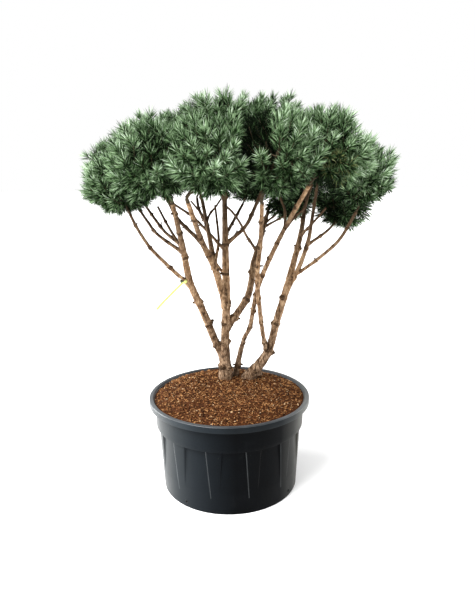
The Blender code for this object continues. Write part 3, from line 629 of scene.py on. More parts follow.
# %% Limb table
LIMBS = {
    "stem_middle": (None, 0, ((-0.02, 0.15, 0.49), (-0.02, 0.12, 0.71), (-0.01, 0.09, 0.90),
                              (-0.01, 0.05, 1.19)), (-0.01, 0.02, 1.60), 0.050, 0.018),
    "stem_right": (None, 0, ((0.10, 0.15, 0.49), (0.20, 0.12, 0.64), (0.24, 0.10, 0.80),
                             (0.295, 0.085, 1.00), (0.365, 0.16, 1.24)), (0.40, 0.28, 1.38), 0.047, 0.018),
    "stem_slim": (None, 0, ((0.03, 0.19, 0.49), (0.075, 0.14, 0.70), (0.108, 0.11, 0.78),
                            (0.14, 0.05, 0.97), (0.18, -0.04, 1.11), (0.26, -0.20, 1.32)),
                  (0.34, -0.36, 1.50), 0.023, 0.016),
    "stem_left": ("stem_middle", 0.58, ((-0.075, 0.125, 0.715), (-0.13, 0.05, 0.89), (-0.18, -0.02, 1.04),
                                        (-0.20, -0.10, 1.21)), (-0.22, -0.30, 1.43), 0.042, 0.018),
    "stem_back": ("stem_middle", 0.77, ((0.10, 0.16, 0.93), (0.13, 0.22, 1.09), (0.17, 0.30, 1.20)),
                  (0.23, 0.48, 1.38), 0.036, 0.016),
    "stem_front": ("stem_middle", 0.89, ((-0.06, 0.00, 1.10), (-0.11, -0.12, 1.24)),
                   (-0.15, -0.38, 1.44), 0.034, 0.017),
    "stem_pale": ("stem_right", 0.63, ((0.17, 0.05, 0.77), (0.14, -0.06, 1.05), (0.15, -0.18, 1.24)),
                  (0.15, -0.34, 1.43), 0.022, 0.016),
    "bough_left_low": ("stem_left", 1.005, ((-0.345, -0.15, 1.228),), (-0.415, -0.21, 1.38), 0.018, 0.011),
    "bough_left": ("stem_left", 1.19, ((-0.32, -0.04, 1.27),), (-0.42, 0.04, 1.39), 0.016, 0.010),
    "bough_left_back": ("stem_left", 1.23, ((-0.30, 0.03, 1.28),), (-0.41, 0.20, 1.39), 0.016, 0.010),
    "bough_left_upper": ("stem_front", 1.24, ((-0.22, -0.06, 1.34),), (-0.30, -0.04, 1.50), 0.018, 0.012),
    "bough_back_middle": ("stem_front", 1.10, ((-0.09, 0.08, 1.26),), (-0.15, 0.22, 1.54), 0.024, 0.013),
    "bough_back": ("bough_back_middle", 1.30, ((-0.15, 0.32, 1.36),), (-0.17, 0.48, 1.41), 0.016, 0.011),
    "bough_back_left": ("stem_middle", 1.18, ((-0.105, 0.15, 1.27), (-0.175, 0.22, 1.33)),
                        (-0.30, 0.34, 1.40), 0.014, 0.010),
    "bough_upper_right": ("stem_middle", 1.21, ((0.088, 0.08, 1.295),), (0.205, 0.12, 1.54), 0.018, 0.012),
    "bough_back_right": ("stem_middle", 1.25, ((0.02, 0.24, 1.29),), (0.08, 0.44, 1.38), 0.015, 0.011),
    "bough_right_upper": ("stem_right", 0.95, ((0.349, 0.07, 1.09), (0.391, 0.065, 1.22)),
                          (0.43, 0.05, 1.50), 0.022, 0.012),
    "bough_right": ("stem_right", 1.03, ((0.427, 0.03, 1.132), (0.523, -0.03, 1.235)),
                    (0.59, -0.08, 1.37), 0.017, 0.011),
    "bough_right_back": ("bough_right_upper", 1.20, ((0.495, 0.17, 1.255),),
                         (0.55, 0.22, 1.30), 0.014, 0.010),
}
TWIG_LIMBS = {
    "left_dark": (((-0.2, -0.095, 1.2), (-0.235, -0.07, 1.254), (-0.28, 0.0, 1.312),
                   (-0.335, 0.1, 1.39)), 0.012, 0.009),
    "front_behind": (((-0.062, -0.005, 1.11), (-0.043, 0.04, 1.22), (-0.046, 0.09, 1.277),
                      (-0.061, 0.18, 1.39)), 0.012, 0.009),
    "middle_low": (((-0.01, 0.072, 1.02), (-0.024, 0.075, 1.064), (-0.04, 0.07, 1.091),
                    (-0.066, 0.02, 1.14)), 0.012, 0.01),
    "back_left": (((0.149, 0.26, 1.145), (0.128, 0.28, 1.177), (0.093, 0.24, 1.234), (0.066, 0.16, 1.298),
                   (0.029, 0.06, 1.361), (-0.004, 0.0, 1.399)), 0.012, 0.009),
    "back_small": (((0.196, 0.375, 1.28), (0.226, 0.4, 1.301), (0.254, 0.44, 1.316),
                    (0.285, 0.48, 1.343)), 0.009, 0.006),
    "back_right": (((0.192, 0.365, 1.262), (0.246, 0.38, 1.289), (0.29, 0.4, 1.311),
                    (0.38, 0.44, 1.356)), 0.01, 0.007),
    "slim_right": (((0.258, -0.19, 1.31), (0.307, -0.17, 1.364), (0.345, -0.16, 1.396),
                    (0.361, -0.15, 1.447), (0.379, -0.14, 1.499)), 0.011, 0.008),
    "slim_left": (((0.258, -0.19, 1.31), (0.258, -0.16, 1.385), (0.244, -0.15, 1.428),
                   (0.224, -0.15, 1.5)), 0.01, 0.007),
    "right_orange": (((0.365, 0.155, 1.235), (0.384, 0.13, 1.264), (0.412, 0.09, 1.302),
                      (0.468, 0.02, 1.383)), 0.011, 0.008),
    "back_middle_right": (((-0.104, 0.13, 1.31), (-0.088, 0.19, 1.347), (-0.06, 0.22, 1.38),
                           (-0.033, 0.25, 1.418)), 0.009, 0.007),
    "back_middle_left": (((-0.104, 0.13, 1.31), (-0.139, 0.14, 1.366),
                          (-0.176, 0.12, 1.416)), 0.009, 0.007),
}
BARK_THICKNESS = 0.0012
FLARE_EXTRA = 0.50
FLARE_HEIGHT = 0.100
ROOTED_BELOW = 0.030
BARK_INTO_SOIL = 0.020
LIMB_STEP = 0.11
FINE_STEP = 0.006
print("limbs", len(LIMBS), "twigs of their own", len(TWIG_LIMBS))


# %% Limb routes
def smooth_route(points, step):
    """Points along a smooth curve through the given ones."""
    ends = [points[0] * 2 - points[1]] + points + [points[-1] * 2 - points[-2]]
    route = [points[0]]
    for before, start, end, after in zip(ends, ends[1:], ends[2:], ends[3:]):
        pieces = max(1, round((end - start).length / step))
        for piece in range(1, pieces + 1):
            t = piece / pieces
            route.append(0.5 * ((2 * start) + (end - before) * t
                                + (2 * before - 5 * start + 4 * end - after) * t * t
                                + (3 * start - before - 3 * end + after) * t ** 3))
    return route


def point_at_height(route, height):
    for low, high in zip(route, route[1:]):
        if low.z <= height <= high.z:
            return low.lerp(high, (height - low.z) / (high.z - low.z))
    return route[-1]


def lengths_along(route):
    return np.cumsum([0.0] + [(second - first).length for first, second in zip(route, route[1:])])


def limb_radii(route, thick, thin, flared):
    """Half the limb's thickness at each point of its route."""
    lengths = lengths_along(route)
    radii = (thick + (thin - thick) * lengths / lengths[-1]) / 2 + BARK_THICKNESS
    if flared:
        radii *= 1 + FLARE_EXTRA * np.exp(-np.maximum(0.0, lengths - ROOTED_BELOW) / FLARE_HEIGHT)
    return radii


def limb_route(name, plans, step):
    parent, height, through, tip, thick, thin = LIMBS[name]
    places = [Vector(place) for place in through] + [Vector(tip)]
    if parent:
        places.insert(0, point_at_height(plans[parent][0], height))
    else:
        places.insert(0, places[0] - (places[1] - places[0]).normalized() * ROOTED_BELOW)
    route = smooth_route(places, step)
    return route, limb_radii(route, thick, thin, parent is None)


def make_plans():
    """Fine routes that follow the plain model's coarse ones."""
    plain, fine_plans = {}, {}
    for name in LIMBS:
        plain[name] = limb_route(name, plain, LIMB_STEP)
    for name, (route, radii) in plain.items():
        fine = smooth_route(route, FINE_STEP)
        lengths, fine_lengths = lengths_along(route), lengths_along(fine)
        fine_plans[name] = (fine, np.interp(fine_lengths / fine_lengths[-1] * lengths[-1], lengths, radii))
    return fine_plans


plans = make_plans()
twig_plans = {}
for twig_name, (places, twig_thick, twig_thin) in TWIG_LIMBS.items():
    twig_route = smooth_route([Vector(place) for place in places], FINE_STEP)
    twig_plans[twig_name] = (twig_route, limb_radii(twig_route, twig_thick, twig_thin, False))
print("longest limb has", max(len(route) for route, _ in plans.values()), "rings")

# %% [markdown]
# ## The bark
#
# Low on the stems the bark is grey-brown and breaks into scales. Higher up it is thin and orange. The
# scales are real relief: each point of the limb is moved in or out by noise that is stretched along
# the limb, which a bump in the material alone would not show on the limb's outline. Old knots swell
# the limb at steady distances, with short dry stubs where side shoots were.

# %% Scales of the bark
# How many scales, and how many smaller bumps, there are to the metre across and along a limb
SCALES_ACROSS, SCALES_ALONG = 95, 40
BUMPS_ACROSS, BUMPS_ALONG = 60, 28


def limb_frames(route):
    """Two level-keeping side directions for each point of a route."""
    ahead = [(second - first).normalized() for first, second in zip(route, route[1:])]
    ahead.append(ahead[-1])
    side = ahead[0].orthogonal().normalized()
    frames = []
    for direction in ahead:
        side = (side - direction * side.dot(direction)).normalized()
        frames.append((direction, side, direction.cross(side)))
    return frames


def sideways(frame, angle):
    """The direction that stands out from a limb at an angle round it."""
    _, side, across = frame
    return side * math.cos(angle) + across * math.sin(angle)


def bark_relief(point, strength):
    """Scales: patches with sharp edges, longer along the limb than across it."""
    x, y, z = point
    patch = noise.voronoi((x * SCALES_ACROSS, y * SCALES_ACROSS, z * SCALES_ALONG))[0]
    edge = min(1.0, (patch[1] - patch[0]) * 3.0)
    rough = noise.noise((x * BUMPS_ACROSS, y * BUMPS_ACROSS, z * BUMPS_ALONG))
    return (edge + rough - 0.7) * strength


print("a scale is", round(1000 / SCALES_ACROSS), "mm across and", round(1000 / SCALES_ALONG), "mm along")

# %% Knots
KNOT_SPACING = 0.125
KNOT_LENGTH = 0.010


def knot_places(name, length):
    """Distances along a limb at which old knots sit, not quite evenly."""
    dice = random.Random(name)
    place = KNOT_SPACING * dice.uniform(0.5, 0.9)
    knots = []
    while place < length - 0.05:
        knots.append(place)
        place += KNOT_SPACING * dice.uniform(0.75, 1.3)
    return knots


def knot_shares(name, lengths):
    """How near each ring of a limb is to a knot, from 0 to 1."""
    knots = np.array(knot_places(name, lengths[-1]))
    return np.exp(-((lengths[:, None] - knots) / KNOT_LENGTH) ** 2).sum(axis=1)


def knot_side(out, place):
    """How much of a knot shows on one side of the limb: old whorls are uneven."""
    return 0.5 + noise.noise(out * 1.1 + place * 5)


print("knots on the middle stem", len(knot_places("stem_middle", lengths_along(plans["stem_middle"][0])[-1])))

# %% Skin of a limb
KNOT_SWELL = 0.20
KNOT_BULGE = 0.75
KNOT_DARK_FROM = 0.42
# Where a limb leaves another it is thicker by this share, which fades over this length
COLLAR_SWELL = 0.40
COLLAR_LENGTH = 0.032
SCALE_RELIEF = 0.0021
# Young bark at this height and above has this share of the relief, and the old bark far below has all
YOUNG_BARK_HEIGHT = 1.25
YOUNG_BARK_FADE = 0.6
YOUNG_BARK_SHARE = 0.35
FULL_RELIEF_RADIUS = 0.012


def limb_points(name, route, radii, around, is_child):
    """The limb's skin, ring by ring, and for each face whether it is dark knot bark."""
    lengths = lengths_along(route)
    rows = zip(route, radii, lengths, knot_shares(name, lengths), limb_frames(route))
    points, dark = [], []
    for place, radius, length, knot, frame in rows:
        swell = 1 + KNOT_SWELL * knot
        if is_child:
            swell += COLLAR_SWELL * math.exp(-(length / COLLAR_LENGTH) ** 2)
        oldness = max(0.0, min(1.0, (YOUNG_BARK_HEIGHT - place.z) / YOUNG_BARK_FADE))
        strength = SCALE_RELIEF * (YOUNG_BARK_SHARE + (1 - YOUNG_BARK_SHARE) * oldness)
        strength *= min(1.0, radius / FULL_RELIEF_RADIUS)
        for number in range(around):
            angle = number * math.tau / around
            out = sideways(frame, angle)
            knot_here = knot_side(out, place)
            lobes = 1 + 0.06 * math.sin(2 * angle + place.z * 9) + KNOT_BULGE * knot * (knot_here - 0.5)
            dark.append(knot * knot_here > KNOT_DARK_FROM)
            relief = bark_relief(place + out * radius, strength)
            points.append(place + out * (radius * swell * lobes + relief))
    return points, dark[:-around]


def stubs_of(name, route, radii):
    """Short dry stubs at the knots, as (start, end, thick, thin)."""
    dice = random.Random(name + " stubs")
    lengths = lengths_along(route)
    frames = limb_frames(route)
    stubs = []
    for at in knot_places(name, lengths[-1]):
        row = int(np.searchsorted(lengths, at))
        place, radius, ahead = route[row], radii[row], frames[row][0]
        for number in range(dice.choice((0, 1, 1, 2))):
            out = sideways(frames[row], dice.uniform(0, math.tau))
            thick = radius * dice.uniform(0.36, 0.58)
            end = place + out * (radius + dice.uniform(0.004, 0.014)) + ahead * dice.uniform(0.002, 0.010)
            stubs.append((place + out * radius * 0.4, end, thick, thick * 0.7))
    return stubs


def stick_points(start, end, thick, thin, sides):
    """Two rings of points, and the end's middle twice over, so that the stick closes."""
    ahead = (end - start).normalized()
    side = ahead.orthogonal().normalized()
    frame = (ahead, side, ahead.cross(side))
    outs = [sideways(frame, corner * math.tau / sides) for corner in range(sides)]
    return [place + out * radius
            for place, radius in ((start, thick), (end, thin), (end + ahead * thin * 0.3, thin * 0.05))
            for out in outs]


# %% Bark mesh
THICK_AROUND = 22
THIN_AROUND = 10
THICK_FROM_RADIUS = 0.009
STUB_SIDES = 6


def make_bark(materials):
    """Every limb and its stubs in one mesh, kept just under the soil's top."""
    points, faces, dark = [], [], []
    for name, (route, radii) in (plans | twig_plans).items():
        is_rooted = name in LIMBS and LIMBS[name][0] is None
        around = THICK_AROUND if max(radii) > THICK_FROM_RADIUS else THIN_AROUND
        faces.append(ring_faces(len(route), around, len(points)))
        limb, limb_dark = limb_points(name, route, radii, around, not is_rooted)
        points += limb
        dark += limb_dark
        for stub in stubs_of(name, route, radii):
            faces.append(ring_faces(3, STUB_SIDES, len(points)))
            points += stick_points(*stub, STUB_SIDES)
            dark += [True] * (2 * STUB_SIDES)
    points = np.array([tuple(point) for point in points])
    points[:, 2] = np.maximum(points[:, 2], SOIL_TOP - BARK_INTO_SOIL)
    mesh = mesh_from_arrays("bark", points, np.concatenate(faces), dark)
    return add_piece("bark", mesh, materials, list(LIMBS))


# %% Bark finish
# The dark brown of the cracks, also mixed in as painted shade where little light comes
CRACK_AND_SHADE_BROWN = (0.018, 0.010, 0.005)
OLD_BARK = ((0.37, CRACK_AND_SHADE_BROWN), (0.465, (0.150, 0.085, 0.046)), (0.60, (0.440, 0.300, 0.190)))
YOUNG_BARK = ((0.34, (0.045, 0.022, 0.010)), (0.47, (0.200, 0.113, 0.056)), (0.64, (0.450, 0.300, 0.172)))
# Heights or depths between which a share runs, and the share at both ends
YOUNG_ABOVE = (0.62, 1.12)
CRACKED_BELOW = (0.60, 1.20, 0.70, 0.20)
# Painted shade: limbs at the back and close under the crown are painted darker
PAINTED_SHADE_AT_BACK = (0.08, 0.26, 0.0, 0.72)
SHADED_UNDER_CROWN = (1.06, 1.34, 0.0, 0.82)
SHADED_BEHIND = (-0.38, -0.16)


def bark_material():
    """Old scaly bark that turns into young smooth bark higher up, and is darker where little light comes."""
    material = plain_material("pine_bark", (0.25, 0.15, 0.09), 0.88)
    place = place_on(material)
    axes = add_node(material, "SeparateXYZ", {"Vector": place}).outputs
    stretched = add_node(material, "Mapping", {"Vector": place, "Scale": (1.0, 1.0, 0.35)}).outputs["Vector"]
    flakes = noise_over(material, stretched, 62.0, 7.0, 0.72)
    old, young = (colour_ramp(material, flakes, stops) for stops in (OLD_BARK, YOUNG_BARK))
    colour = mix_colours(material, share_between(material, axes["Z"], *YOUNG_ABOVE), old, young)
    # Dark cracks between the scales of the old bark low down
    scales = add_node(material, "TexVoronoi", {"Vector": stretched, "Scale": 105.0})
    scales.feature = "DISTANCE_TO_EDGE"
    crack = colour_ramp(material, scales.outputs["Distance"], [(0.03, (0.30,) * 3), (0.16, (1.0,) * 3)])
    cracked = share_between(material, axes["Z"], *CRACKED_BELOW)
    colour = mix_colours(material, cracked, colour, crack, "MULTIPLY")
    # The limbs at the back stand in each other's shade, and so do the limbs close under the crown, but for
    # the ones in front: painted shade, a dark brown mixed in by place
    shade_at_back = share_between(material, axes["Y"], *PAINTED_SHADE_AT_BACK)
    under = share_between(material, axes["Z"], *SHADED_UNDER_CROWN)
    behind = share_between(material, axes["Y"], *SHADED_BEHIND)
    shade = combine_shares(material, "MAXIMUM", shade_at_back, combine_shares(material, "MULTIPLY", under, behind))
    colour = mix_colours(material, shade, colour, (*CRACK_AND_SHADE_BROWN, 1.0))
    return fill_shader(material, {"Specular IOR Level": 0.15, "Base Color": colour,
                                  "Normal": bump_from(material, flakes, 0.8, 0.002)})


knot_material = mottled_material("knot_bark", (0.012, 0.007, 0.004), (0.100, 0.058, 0.030), 0.9, 140.0, 0.001)
bark = make_bark([bark_material(), knot_material])
print("bark points", len(bark.data.vertices))

# %% [markdown]
# ## The crown's masses
#
# The crown is a dome of nineteen masses, each on one limb. A mass keeps to its own space: half-way to
# each neighbour it stops. Inside, one stem runs on from the limb, twigs fan out from it, and each twig
# bears shoots. A shoot turns upwards and outwards and ends near the mass's reach, as the plain
# model's sprays do, with many more and finer ones. Shoots that would end deep inside a neighbour are
# left out, and shorter dark ones fill the shade.

# %% Mass table
MASSES = {
    "foliage_left_low": ("bough_left_low", (-0.455, -0.20, 1.50), (0.17, 0.19, 0.145)),
    "foliage_left": ("bough_left", (-0.50, 0.06, 1.55), (0.18, 0.18, 0.17)),
    "foliage_left_back": ("bough_left_back", (-0.47, 0.30, 1.54), (0.19, 0.19, 0.16)),
    "foliage_left_front": ("stem_left", (-0.28, -0.39, 1.58), (0.20, 0.21, 0.17)),
    "foliage_left_upper": ("bough_left_upper", (-0.30, -0.08, 1.655), (0.24, 0.24, 0.155)),
    "foliage_back_left": ("bough_back_left", (-0.33, 0.45, 1.56), (0.18, 0.20, 0.17)),
    "foliage_front": ("stem_front", (-0.05, -0.47, 1.60), (0.20, 0.22, 0.17)),
    "foliage_back": ("bough_back", (-0.11, 0.55, 1.56), (0.19, 0.21, 0.17)),
    "foliage_upper_back": ("bough_back_middle", (-0.15, 0.24, 1.71), (0.25, 0.25, 0.16)),
    "foliage_top": ("stem_middle", (0.0, -0.12, 1.745), (0.26, 0.27, 0.145)),
    "foliage_back_right": ("bough_back_right", (0.14, 0.53, 1.53), (0.19, 0.21, 0.17)),
    "foliage_upper_right": ("bough_upper_right", (0.23, 0.12, 1.745), (0.25, 0.25, 0.155)),
    "foliage_front_right": ("stem_pale", (0.20, -0.41, 1.61), (0.20, 0.22, 0.18)),
    "foliage_far_back": ("stem_back", (0.33, 0.45, 1.475), (0.19, 0.20, 0.17)),
    "foliage_right_front": ("stem_slim", (0.42, -0.32, 1.63), (0.20, 0.21, 0.17)),
    "foliage_right_upper": ("bough_right_upper", (0.44, 0.03, 1.69), (0.24, 0.23, 0.15)),
    "foliage_right_back": ("stem_right", (0.43, 0.29, 1.60), (0.19, 0.18, 0.17)),
    "foliage_right": ("bough_right", (0.60, -0.09, 1.53), (0.165, 0.18, 0.165)),
    "foliage_right_low": ("bough_right_back", (0.59, 0.26, 1.43), (0.17, 0.18, 0.17)),
}
GROUPS = {
    "needles_left": ("foliage_left_low", "foliage_left", "foliage_left_back"),
    "needles_left_front": ("foliage_left_front", "foliage_left_upper", "foliage_front"),
    "needles_front": ("foliage_front_right", "foliage_right_front", "foliage_top"),
    "needles_upper": ("foliage_upper_back", "foliage_upper_right", "foliage_right_upper"),
    "needles_right": ("foliage_right", "foliage_right_low", "foliage_right_back"),
    "needles_back": ("foliage_back_left", "foliage_back", "foliage_back_right", "foliage_far_back"),
}
print("masses", len(MASSES), "in", len(GROUPS), "pieces")

# %% Room for a mass
# A point is hidden where it lies within this share of another mass's reach
HIDDEN_SHARE = 0.80


def even_directions(count, turn):
    """Directions spread evenly over a ball."""
    golden_angle = math.pi * (3 - math.sqrt(5))
    directions = []
    for number in range(count):
        height = 1 - 2 * (number + 0.5) / count
        ring = math.sqrt(1 - height * height)
        angle = golden_angle * number + turn
        directions.append(Vector((ring * math.cos(angle), ring * math.sin(angle), height)))
    return directions


def room_along(direction, centre, others):
    """How far the mass's own space runs from its centre."""
    room = math.inf
    for other in others:
        across = other - centre
        towards = direction.dot(across)
        if towards > 0:
            room = min(room, across.length_squared / 2 / towards)
    return room


def run_to_surface(direction, reach, upper_share=1.0):
    """The way from a mass's centre to its reach."""
    run = Vector([part * length for part, length in zip(direction, reach)])
    if run.z > 0:
        run.z *= upper_share
    return run


def within_room(run, centre, others, overlap=0.0):
    """The run, cut short where a neighbour's space begins."""
    room = room_along(run.normalized(), centre, others) + overlap
    return run * min(1.0, room / run.length)


def is_in(point, balls):
    """True inside one of some balls, each a middle and a radius."""
    return any((point - Vector(middle)).length < radius for middle, radius in balls)


def is_hidden(point, name):
    """True well inside another mass."""
    for other, (_, centre, reach) in MASSES.items():
        gap = point - Vector(centre)
        if other != name and sum((gap[axis] / reach[axis]) ** 2 for axis in range(3)) < HIDDEN_SHARE ** 2:
            return True
    return False


print("the top mass reaches", MASSES["foliage_top"][2], "m from its middle")

# %% Outer shoots
# Between two forks the surface falls back by this share
VALLEY_DEPTH = 0.15
VALLEY_FROM_DEG = 15
VALLEY_TO_DEG = 34
SHOOT_LENGTH = 0.082
TIP_INSIDE_REACH = 0.031
UPPER_REACH_SHARE = 1.11
# A shoot may end this far inside a neighbour's space
OVERLAP = 0.012
# No shoot ends this near the crown's middle, where no light comes
CROWN_MIDDLE = Vector((0.03, 0.03, 1.40))
CROWN_HOLLOW = 0.26
# Two gaps between the tufts of the front, in which no shoot ends, as (middle, radius)
FRONT_GAPS = (((0.150, -0.52, 1.665), 0.100), ((0.150, -0.56, 1.580), 0.060))
# Right of this nothing grows higher than this: the crown's right shoulder is low
SHOULDER_FROM = 0.540
SHOULDER_HEIGHT = 1.715
# A shoot turns upwards, but one that points further down than this keeps a share of its slope
OUTER_LIFT = Vector((0.0, 0.0, 0.55))
LOW_FROM = -0.30
LOW_SLOPE = 0.45
LOW_RAISED = 0.022
# Masses whose lowest shoots hang below the mass by this much
HANGING = {"foliage_far_back": 0.045, "foliage_right_low": 0.040, "foliage_back_right": 0.020,
           "foliage_left": 0.050}


def wander(dice, size):
    """A small turn at random, to add to a direction."""
    return Vector([dice.gauss(0, size) for axis in range(3)])


def valley_at(direction, lobes):
    """From 0 on top of a lobe to 1 in the valley between lobes."""
    nearest = math.degrees(min(direction.angle(lobe) for lobe in lobes))
    return max(0.0, min(1.0, (nearest - VALLEY_FROM_DEG) / (VALLEY_TO_DEG - VALLEY_FROM_DEG)))


def outer_shoot(name, direction, centre, reach, others, valley, dice):
    """(foot, tip, valley) of a shoot that ends at the mass's surface, or None where none grows."""
    run = run_to_surface(direction, reach, UPPER_REACH_SHARE)
    spread = dice.uniform(0.95, 1.0)
    surface = centre + within_room(run, centre, others, OVERLAP) * spread * (1 - VALLEY_DEPTH * valley)
    above_shoulder = surface.x > SHOULDER_FROM and surface.z > SHOULDER_HEIGHT
    in_hollow = (surface - CROWN_MIDDLE).length < CROWN_HOLLOW
    if above_shoulder or in_hollow or is_in(surface, FRONT_GAPS) or is_hidden(surface, name):
        return None
    heading = run.normalized()
    if direction.z < LOW_FROM:
        heading.z *= LOW_SLOPE
        surface.z += LOW_RAISED - HANGING.get(name, 0.0)
    else:
        heading += OUTER_LIFT
    heading = (heading.normalized() + wander(dice, 0.16)).normalized()
    tip = surface - heading * TIP_INSIDE_REACH
    return tip - heading * SHOOT_LENGTH * dice.uniform(0.85, 1.12), tip, valley


print("outer shoots are", SHOOT_LENGTH, "m long")

# %% Twigs and shoots of every mass
FORK_COUNT = 17
OUTER_TRIED = 112
INNER_SHOOTS = 24
INNER_LENGTH = 0.060
INNER_LIFT = Vector((0.0, 0.0, 0.5))
# No fork and no inner shoot points further down than this
LOWEST_FORK = -0.75
LOWEST_INNER = -0.7
# Half the thickness of the twigs, as (at the start, at the end)
FORK_TWIG = (0.0046, 0.0032)
SIDE_TWIG = (0.0026, 0.0018)
SHOOT_TWIG = (0.0014, 0.0008)


def stick_run(start, end, thick, thin):
    """A twig in two parts that sags a little between its ends."""
    middle = start.lerp(end, 0.5) - Vector((0, 0, 0.06 * (end - start).length))
    between = (thick + thin) / 2
    return [(start, middle, thick, between), (middle, end, between, thin)]


def grow_mass(name, number):
    """The mass's twigs as (start, end, thick, thin), its outer shoots and its inner ones."""
    carrier, centre, reach = MASSES[name]
    centre = Vector(centre)
    others = [Vector(row[1]) for other, row in MASSES.items() if other != name]
    dice = random.Random(number * 31 + 7)
    route, radii = plans[carrier]
    foot = route[-1]
    bend = foot + (route[-1] - route[-3]).normalized() * 0.025
    knot = foot.lerp(centre, 0.6)
    twigs = [(foot, bend, radii[-1], radii[-1] * 0.95), (bend, knot, radii[-1] * 0.95, radii[-1] * 0.7),
             (knot, centre, radii[-1] * 0.7, radii[-1] * 0.45)]
    forks = []
    lobes = even_directions(FORK_COUNT, dice.uniform(0, math.tau))
    for direction in lobes:
        if direction.z < LOWEST_FORK:
            continue
        run = within_room(run_to_surface(direction, reach), centre, others)
        fork = centre + run * dice.uniform(0.40, 0.55)
        share = max(0.0, min(1.0, (direction.z + 1) / 2 + dice.uniform(-0.15, 0.1)))
        twigs += stick_run(bend.lerp(centre, share), fork, *FORK_TWIG)
        forks.append(fork)
    outer = [outer_shoot(name, direction, centre, reach, others, valley_at(direction, lobes), dice)
             for direction in even_directions(OUTER_TRIED, dice.uniform(0, math.tau))]
    outer = [shoot for shoot in outer if shoot]
    inner = []
    for direction in even_directions(INNER_SHOOTS, dice.uniform(0, math.tau)):
        if direction.z < LOWEST_INNER:
            continue
        run = within_room(run_to_surface(direction, reach), centre, others)
        tip = centre + run * dice.uniform(0.38, 0.66)
        heading = (run.normalized() + INNER_LIFT + wander(dice, 0.3)).normalized()
        inner.append((tip - heading * INNER_LENGTH, tip, 1.0))
    for shoot_foot, tip, _ in outer + inner:
        fork = min(forks, key=lambda place: (place - shoot_foot).length)
        twigs += stick_run(fork, shoot_foot, *SIDE_TWIG)
        twigs.append((shoot_foot, tip, *SHOOT_TWIG))
    return twigs, outer, inner


grown = {name: grow_mass(name, number) for number, name in enumerate(MASSES)}
print("outer shoots", sum(len(outer) for _, outer, _ in grown.values()),
      "inner shoots", sum(len(inner) for _, _, inner in grown.values()))

# %% [markdown]
# ## The needles
#
# A pine shoot is a bottle brush: needles all the way round and along it, each four or five
# centimetres long, stiff, and pointing forward. They grow in bundles, and the needles of a bundle stay
# close together. Each needle is a narrow blade of two faces, its foot and its point. A few patterns of
# shoot are made once and set on every shoot with its own turn and size. The colours are plain ones
# dealt out by shoot, by bundle and by part of the needle, and much of them is painted light and shade:
# the foot is painted darker for the shade of the brush, the point paler for the light it catches, and
# bundles that look up or out of the crown are painted paler.

# %% Pattern of a shoot
OUTER_BUNDLES = 88
INNER_BUNDLES = 38
BUNDLE_NEEDLES = 2
NEEDLE_LENGTH = 0.047
BUNDLE_SPREAD = 0.030
NEEDLE_WIDTH = 0.0029
NEEDLE_FOOT_SHARE = 0.42
NEEDLE_BOW = 0.07
# Turn round the shoot from one bundle to the next
BUNDLE_TURN = 2.39996


def shoot_pattern(dice, bundles, length_of_shoot):
    """The needles of a shoot along +Z, as points (needle, corner, xyz), and where each sits on it."""
    at = dice.uniform(0.02, 1.0, bundles) ** 0.85
    around = np.arange(bundles) * BUNDLE_TURN + dice.uniform(-0.3, 0.3, bundles)
    lean = np.radians(dice.uniform(38, 70, bundles) * (1 - 0.62 * at ** 4))
    at, around, lean = (np.repeat(values, BUNDLE_NEEDLES) for values in (at, around, lean))
    count = bundles * BUNDLE_NEEDLES
    around = around + dice.normal(0, BUNDLE_SPREAD, count) / np.sin(lean)
    lean = lean + dice.normal(0, BUNDLE_SPREAD, count)
    length = NEEDLE_LENGTH * dice.uniform(0.78, 1.06, count)
    out = np.stack([np.cos(around) * np.sin(lean), np.sin(around) * np.sin(lean), np.cos(lean)], axis=-1)
    flat = np.cross(out, dice.normal(0, 1, (count, 3)))
    flat /= np.linalg.norm(flat, axis=1)[:, None]
    base = np.stack([np.zeros(count), np.zeros(count), at * length_of_shoot], axis=-1)
    bow = np.array([0, 0, 1.0]) * (length * NEEDLE_BOW)[:, None]
    near = base + out * (length * NEEDLE_FOOT_SHARE)[:, None] + bow * 0.6
    tip = base + out * length[:, None] + bow
    half = flat * NEEDLE_WIDTH / 2
    return np.stack([base, near + half, near - half, tip], axis=1), at


print("needles on an outer shoot", OUTER_BUNDLES * BUNDLE_NEEDLES)

# %% Tone of a shoot
# Places where the shoots are painted paler, a painted highlight, and where they are painted dark for deep
# shade, as (middle, radius)
PAINTED_HIGHLIGHT_PLACES = (((0.57, -0.28, 1.60), 0.15),)
SHADED_PLACES = (((0.145, -0.37, 1.65), 0.13), ((0.15, -0.42, 1.57), 0.09), ((0.41, -0.20, 1.48), 0.10),
                 ((0.45, -0.32, 1.465), 0.08))
SHADED_TONE = -0.8
# How much darker a shoot is painted between two forks: painted shade in the valleys
VALLEY_SHADE = 1.3


def shoot_tone(foot, tip, valley, dice):
    """How pale a shoot is painted: paler high up and where it looks out of the crown, darker between forks
    and in shaded places, as painted light and shade, with some chance.
    """
    if is_in(tip, SHADED_PLACES):
        return SHADED_TONE
    outward = (tip - foot).normalized().dot((tip - CROWN_MIDDLE).normalized())
    tone = 1.60 + outward * 0.8 - valley * VALLEY_SHADE + (tip.z - 1.45) / 0.45 * 0.30 + dice.normal(0, 0.30)
    return tone + 0.8 * is_in(tip, PAINTED_HIGHLIGHT_PLACES)


# %% Needles of many shoots
# Needle colours are numbered from the darkest to the palest, and then comes a yellowish one, which
# some bundles have in these places, as (middle, radius)
PALEST = 4
YELLOWISH = 5
YELLOW_PLACES = (((0.44, -0.45, 1.58), 0.075),)
# Inner shoots are painted darker: painted shade inside the crown
INNER_TONE = -0.3


